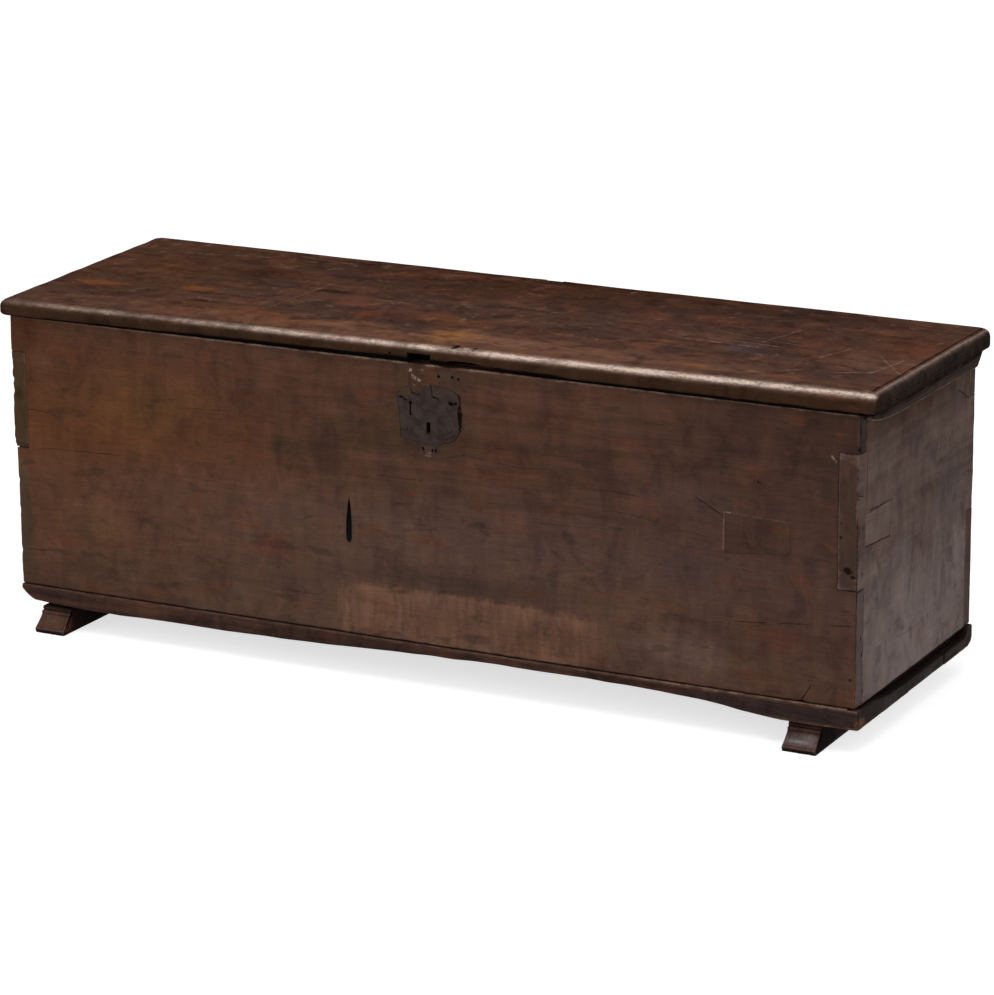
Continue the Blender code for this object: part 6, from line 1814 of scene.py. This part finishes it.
def nailTree():
    tree = bpy.data.node_groups.new("wroughtNails", "GeometryNodeTree")
    inputs = (("Points", "Geometry", None), ("Facets", "Int", 9), ("Doming", "Float", 0.4),
              ("Shank Radius", "Float", 0.4), ("Shank Length", "Float", 7.0), ("Roughness", "Float", 0.2),
              ("Seed", "Int", 1), ("Finish", "Material", None))
    for label, kind, value in inputs:
        socket = tree.interface.new_socket(name=label, in_out="INPUT", socket_type="NodeSocket" + kind)
        if value is not None:
            socket.default_value = value
    tree.interface.new_socket(name="Nails", in_out="OUTPUT", socket_type="NodeSocketGeometry")
    nodes, links = tree.nodes, tree.links
    given, result = nodes.new("NodeGroupInput"), nodes.new("NodeGroupOutput")

    def put(kind, values=(), **settings):
        node = nodes.new(kind)
        for key, value in settings.items():
            setattr(node, key, value)
        for key, value in dict(values).items():
            if isinstance(value, bpy.types.NodeSocket):
                links.new(value, node.inputs[key])
            else:
                node.inputs[key].default_value = value
        return node

    dome = put("GeometryNodeMeshUVSphere", {"Segments": given.outputs["Facets"], "Rings": 8, "Radius": 1.0})
    squash = put("ShaderNodeCombineXYZ", {0: 1.0, 1: 1.0, 2: given.outputs["Doming"]})
    head = put("GeometryNodeTransform", {"Geometry": dome.outputs["Mesh"], "Scale": squash.outputs[0]})
    shank = put("GeometryNodeMeshCone", {"Vertices": 6, "Radius Top": 0.12,
                                         "Radius Bottom": given.outputs["Shank Radius"],
                                         "Depth": given.outputs["Shank Length"]})
    turned = put("GeometryNodeTransform", {"Geometry": shank.outputs["Mesh"],
                                           "Rotation": (math.pi, 0.0, 0.0)})
    nail = put("GeometryNodeJoinGeometry")
    links.new(head.outputs[0], nail.inputs[0])
    links.new(turned.outputs[0], nail.inputs[0])
    facing = put("GeometryNodeInputNamedAttribute", {"Name": "facing"}, data_type="FLOAT_VECTOR")
    size = put("GeometryNodeInputNamedAttribute", {"Name": "headSize"}, data_type="FLOAT")
    aim = put("FunctionNodeAlignRotationToVector", {"Vector": facing.outputs["Attribute"]}, axis="Z")
    spin = put("FunctionNodeRandomValue", {"Seed": given.outputs["Seed"]}, data_type="FLOAT")
    spin.inputs[2].default_value, spin.inputs[3].default_value = 0.0, 2 * math.pi
    angle = put("ShaderNodeCombineXYZ", {2: spin.outputs[1]})
    turn = put("FunctionNodeRotateRotation", {"Rotation": aim.outputs[0], "Rotate By": angle.outputs[0]},
               rotation_space="LOCAL")
    place = put("GeometryNodeInstanceOnPoints", {"Points": given.outputs["Points"],
                                                 "Instance": nail.outputs[0], "Rotation": turn.outputs[0],
                                                 "Scale": size.outputs["Attribute"]})
    real = put("GeometryNodeRealizeInstances", {"Geometry": place.outputs[0]})
    where = put("GeometryNodeInputPosition")
    lumps = put("ShaderNodeTexNoise", {"Vector": where.outputs[0], "Scale": 620.0, "Detail": 1.0})
    centred = put("ShaderNodeVectorMath", {0: lumps.outputs["Color"], 1: (0.5, 0.5, 0.5)},
                  operation="SUBTRACT")
    amount = put("ShaderNodeMath", {0: given.outputs["Roughness"], 1: 0.006}, operation="MULTIPLY")
    push = put("ShaderNodeVectorMath", {0: centred.outputs[0], "Scale": amount.outputs[0]}, operation="SCALE")
    rough = put("GeometryNodeSetPosition", {"Geometry": real.outputs[0], "Offset": push.outputs[0]})
    painted = put("GeometryNodeSetMaterial", {"Geometry": rough.outputs[0],
                                              "Material": given.outputs["Finish"]})
    links.new(painted.outputs[0], result.inputs[0])
    return tree


# One object for all the nails of a body, built by the geometry nodes and then kept as a mesh.
def nails(name, body, rows, nodes):
    base = [np.array(at) + np.array(way, float) * sunk for at, way, _, sunk in rows]
    mesh = bpy.data.meshes.new(name + "Points")
    mesh.from_pydata(toWorld(base).tolist(), [], [])
    facing = mesh.attributes.new("facing", "FLOAT_VECTOR", "POINT")
    outwardWays = np.array([[-v for v in way] for _, way, _, _ in rows], np.float32)
    facing.data.foreach_set("vector", outwardWays.ravel())
    size = mesh.attributes.new("headSize", "FLOAT", "POINT")
    size.data.foreach_set("value", np.array([r / 1000.0 for _, _, r, _ in rows], np.float32))
    obj = bpy.data.objects.new(name, mesh)
    bpy.context.scene.collection.objects.link(obj)
    modifier = obj.modifiers.new("nails", "NODES")
    modifier.node_group = wroughtNails
    values = {**nailSet["look"], "Finish": irons["nailIron"]}
    for item in wroughtNails.interface.items_tree:
        if item.in_out == "INPUT" and item.name in values:
            modifier[item.identifier] = values[item.name]
    bpy.context.view_layer.update()
    made = bpy.data.meshes.new_from_object(obj.evaluated_get(bpy.context.evaluated_depsgraph_get()))
    obj.modifiers.remove(modifier)
    obj.data = made
    bpy.data.meshes.remove(mesh)
    setValue(obj, "arris", np.full(len(made.vertices), 0.15))
    shade(obj, 50.0)
    return settle(obj, body, "wrought_iron", irons["nailIron"], *nodes)


wroughtNails = nailTree()
caseNails = [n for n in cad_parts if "nail_" in n and "cleat" not in n]
cleatNails = [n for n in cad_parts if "cleat_nail_" in n]
nails("caseNails", "case", nailSet["case"], caseNails)
nails("lidCleatNails", "lid", nailSet["lid"], cleatNails)
print("nails made:", len(caseNails), "and", len(cleatNails))

# Hinge staples and the lock's inside keep their CAD shapes.
for nodeName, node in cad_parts.items():
    if nodeName.startswith("hinge_") or (nodeName.startswith("lock_") and not node.hide_render):
        node.data.materials.clear()
        node.data.materials.append(irons["nailIron"])

studio = {"floorSize": 14.0, "floorSeen": 0.62, "floorGlow": 0.68, "floorBounce": 0.55, "worldPlain": 0.55,
          "lamps": (  # name, place, aim, size, watts
              ("overheadSoft", (0.3, -1.3, 3.4), (0.0, 0.0, 0.4), (3.6, 1.8), 52.0),
              ("rightSoft", (4.2, -2.4, 2.0), (0.3, 0.0, 0.35), (2.0, 2.0), 46.0),
              ("leftSoft", (-2.8, -4.6, 2.1), (0.0, 0.0, 0.3), (2.2, 2.2), 62.0))}


def makeFloor():
    size = studio["floorSize"]
    mesh = bpy.data.meshes.new("floor")
    corners = [(-size, -size, 0), (size, -size, 0), (size, size, 0), (-size, size, 0)]
    mesh.from_pydata(corners, [], [(0, 1, 2, 3)])
    floor = bpy.data.objects.new("floor", mesh)
    bpy.context.scene.collection.objects.link(floor)
    material = bpy.data.materials.new("paleFloor")
    material.use_nodes = True
    tree = material.node_tree
    tree.nodes.clear()
    w = Wiring(tree)
    path = w.put("ShaderNodeLightPath")
    seen = w.maths("MAXIMUM", path.outputs["Is Camera Ray"],
                   w.maths("MAXIMUM", path.outputs["Is Glossy Ray"], path.outputs["Is Transmission Ray"]))
    colour = w.mix(seen, (studio["floorBounce"],) * 3, (studio["floorSeen"],) * 3)
    plain = w.put("ShaderNodeBsdfDiffuse", {"Color": colour})
    glow = w.put("ShaderNodeEmission", {"Color": (1, 1, 1, 1),
                                        "Strength": w.maths("MULTIPLY", seen, studio["floorGlow"])})
    both = w.put("ShaderNodeAddShader")
    tree.links.new(plain.outputs[0], both.inputs[0])
    tree.links.new(glow.outputs[0], both.inputs[1])
    output = w.put("ShaderNodeOutputMaterial")
    tree.links.new(both.outputs[0], output.inputs[0])
    mesh.materials.append(material)


def makeWorld():
    world = bpy.data.worlds.new("studio")
    bpy.context.scene.world = world
    world.use_nodes = True
    tree = world.node_tree
    tree.nodes.clear()
    w = Wiring(tree)
    path = w.put("ShaderNodeLightPath")
    seen = w.maths("MAXIMUM", path.outputs["Is Camera Ray"],
                   w.maths("MAXIMUM", path.outputs["Is Glossy Ray"], path.outputs["Is Transmission Ray"]))
    strength = w.spread(seen, 0.0, 1.0, studio["worldPlain"], 1.0, smooth=False)
    background = w.put("ShaderNodeBackground", {"Color": (1, 1, 1, 1), "Strength": strength})
    output = w.put("ShaderNodeOutputWorld")
    tree.links.new(background.outputs[0], output.inputs[0])


def makeLamps():
    for name, place, aim, size, watts in studio["lamps"]:
        lamp = bpy.data.lights.new(name, "AREA")
        lamp.shape, lamp.size, lamp.size_y, lamp.energy = "RECTANGLE", size[0], size[1], watts
        obj = bpy.data.objects.new(name, lamp)
        obj.location = place
        obj.rotation_euler = (Vector(aim) - Vector(place)).to_track_quat("-Z", "Y").to_euler()
        bpy.context.scene.collection.objects.link(obj)


makeFloor()
makeWorld()
makeLamps()
bpy.context.scene.view_settings.view_transform = "Standard"
print("studio made")
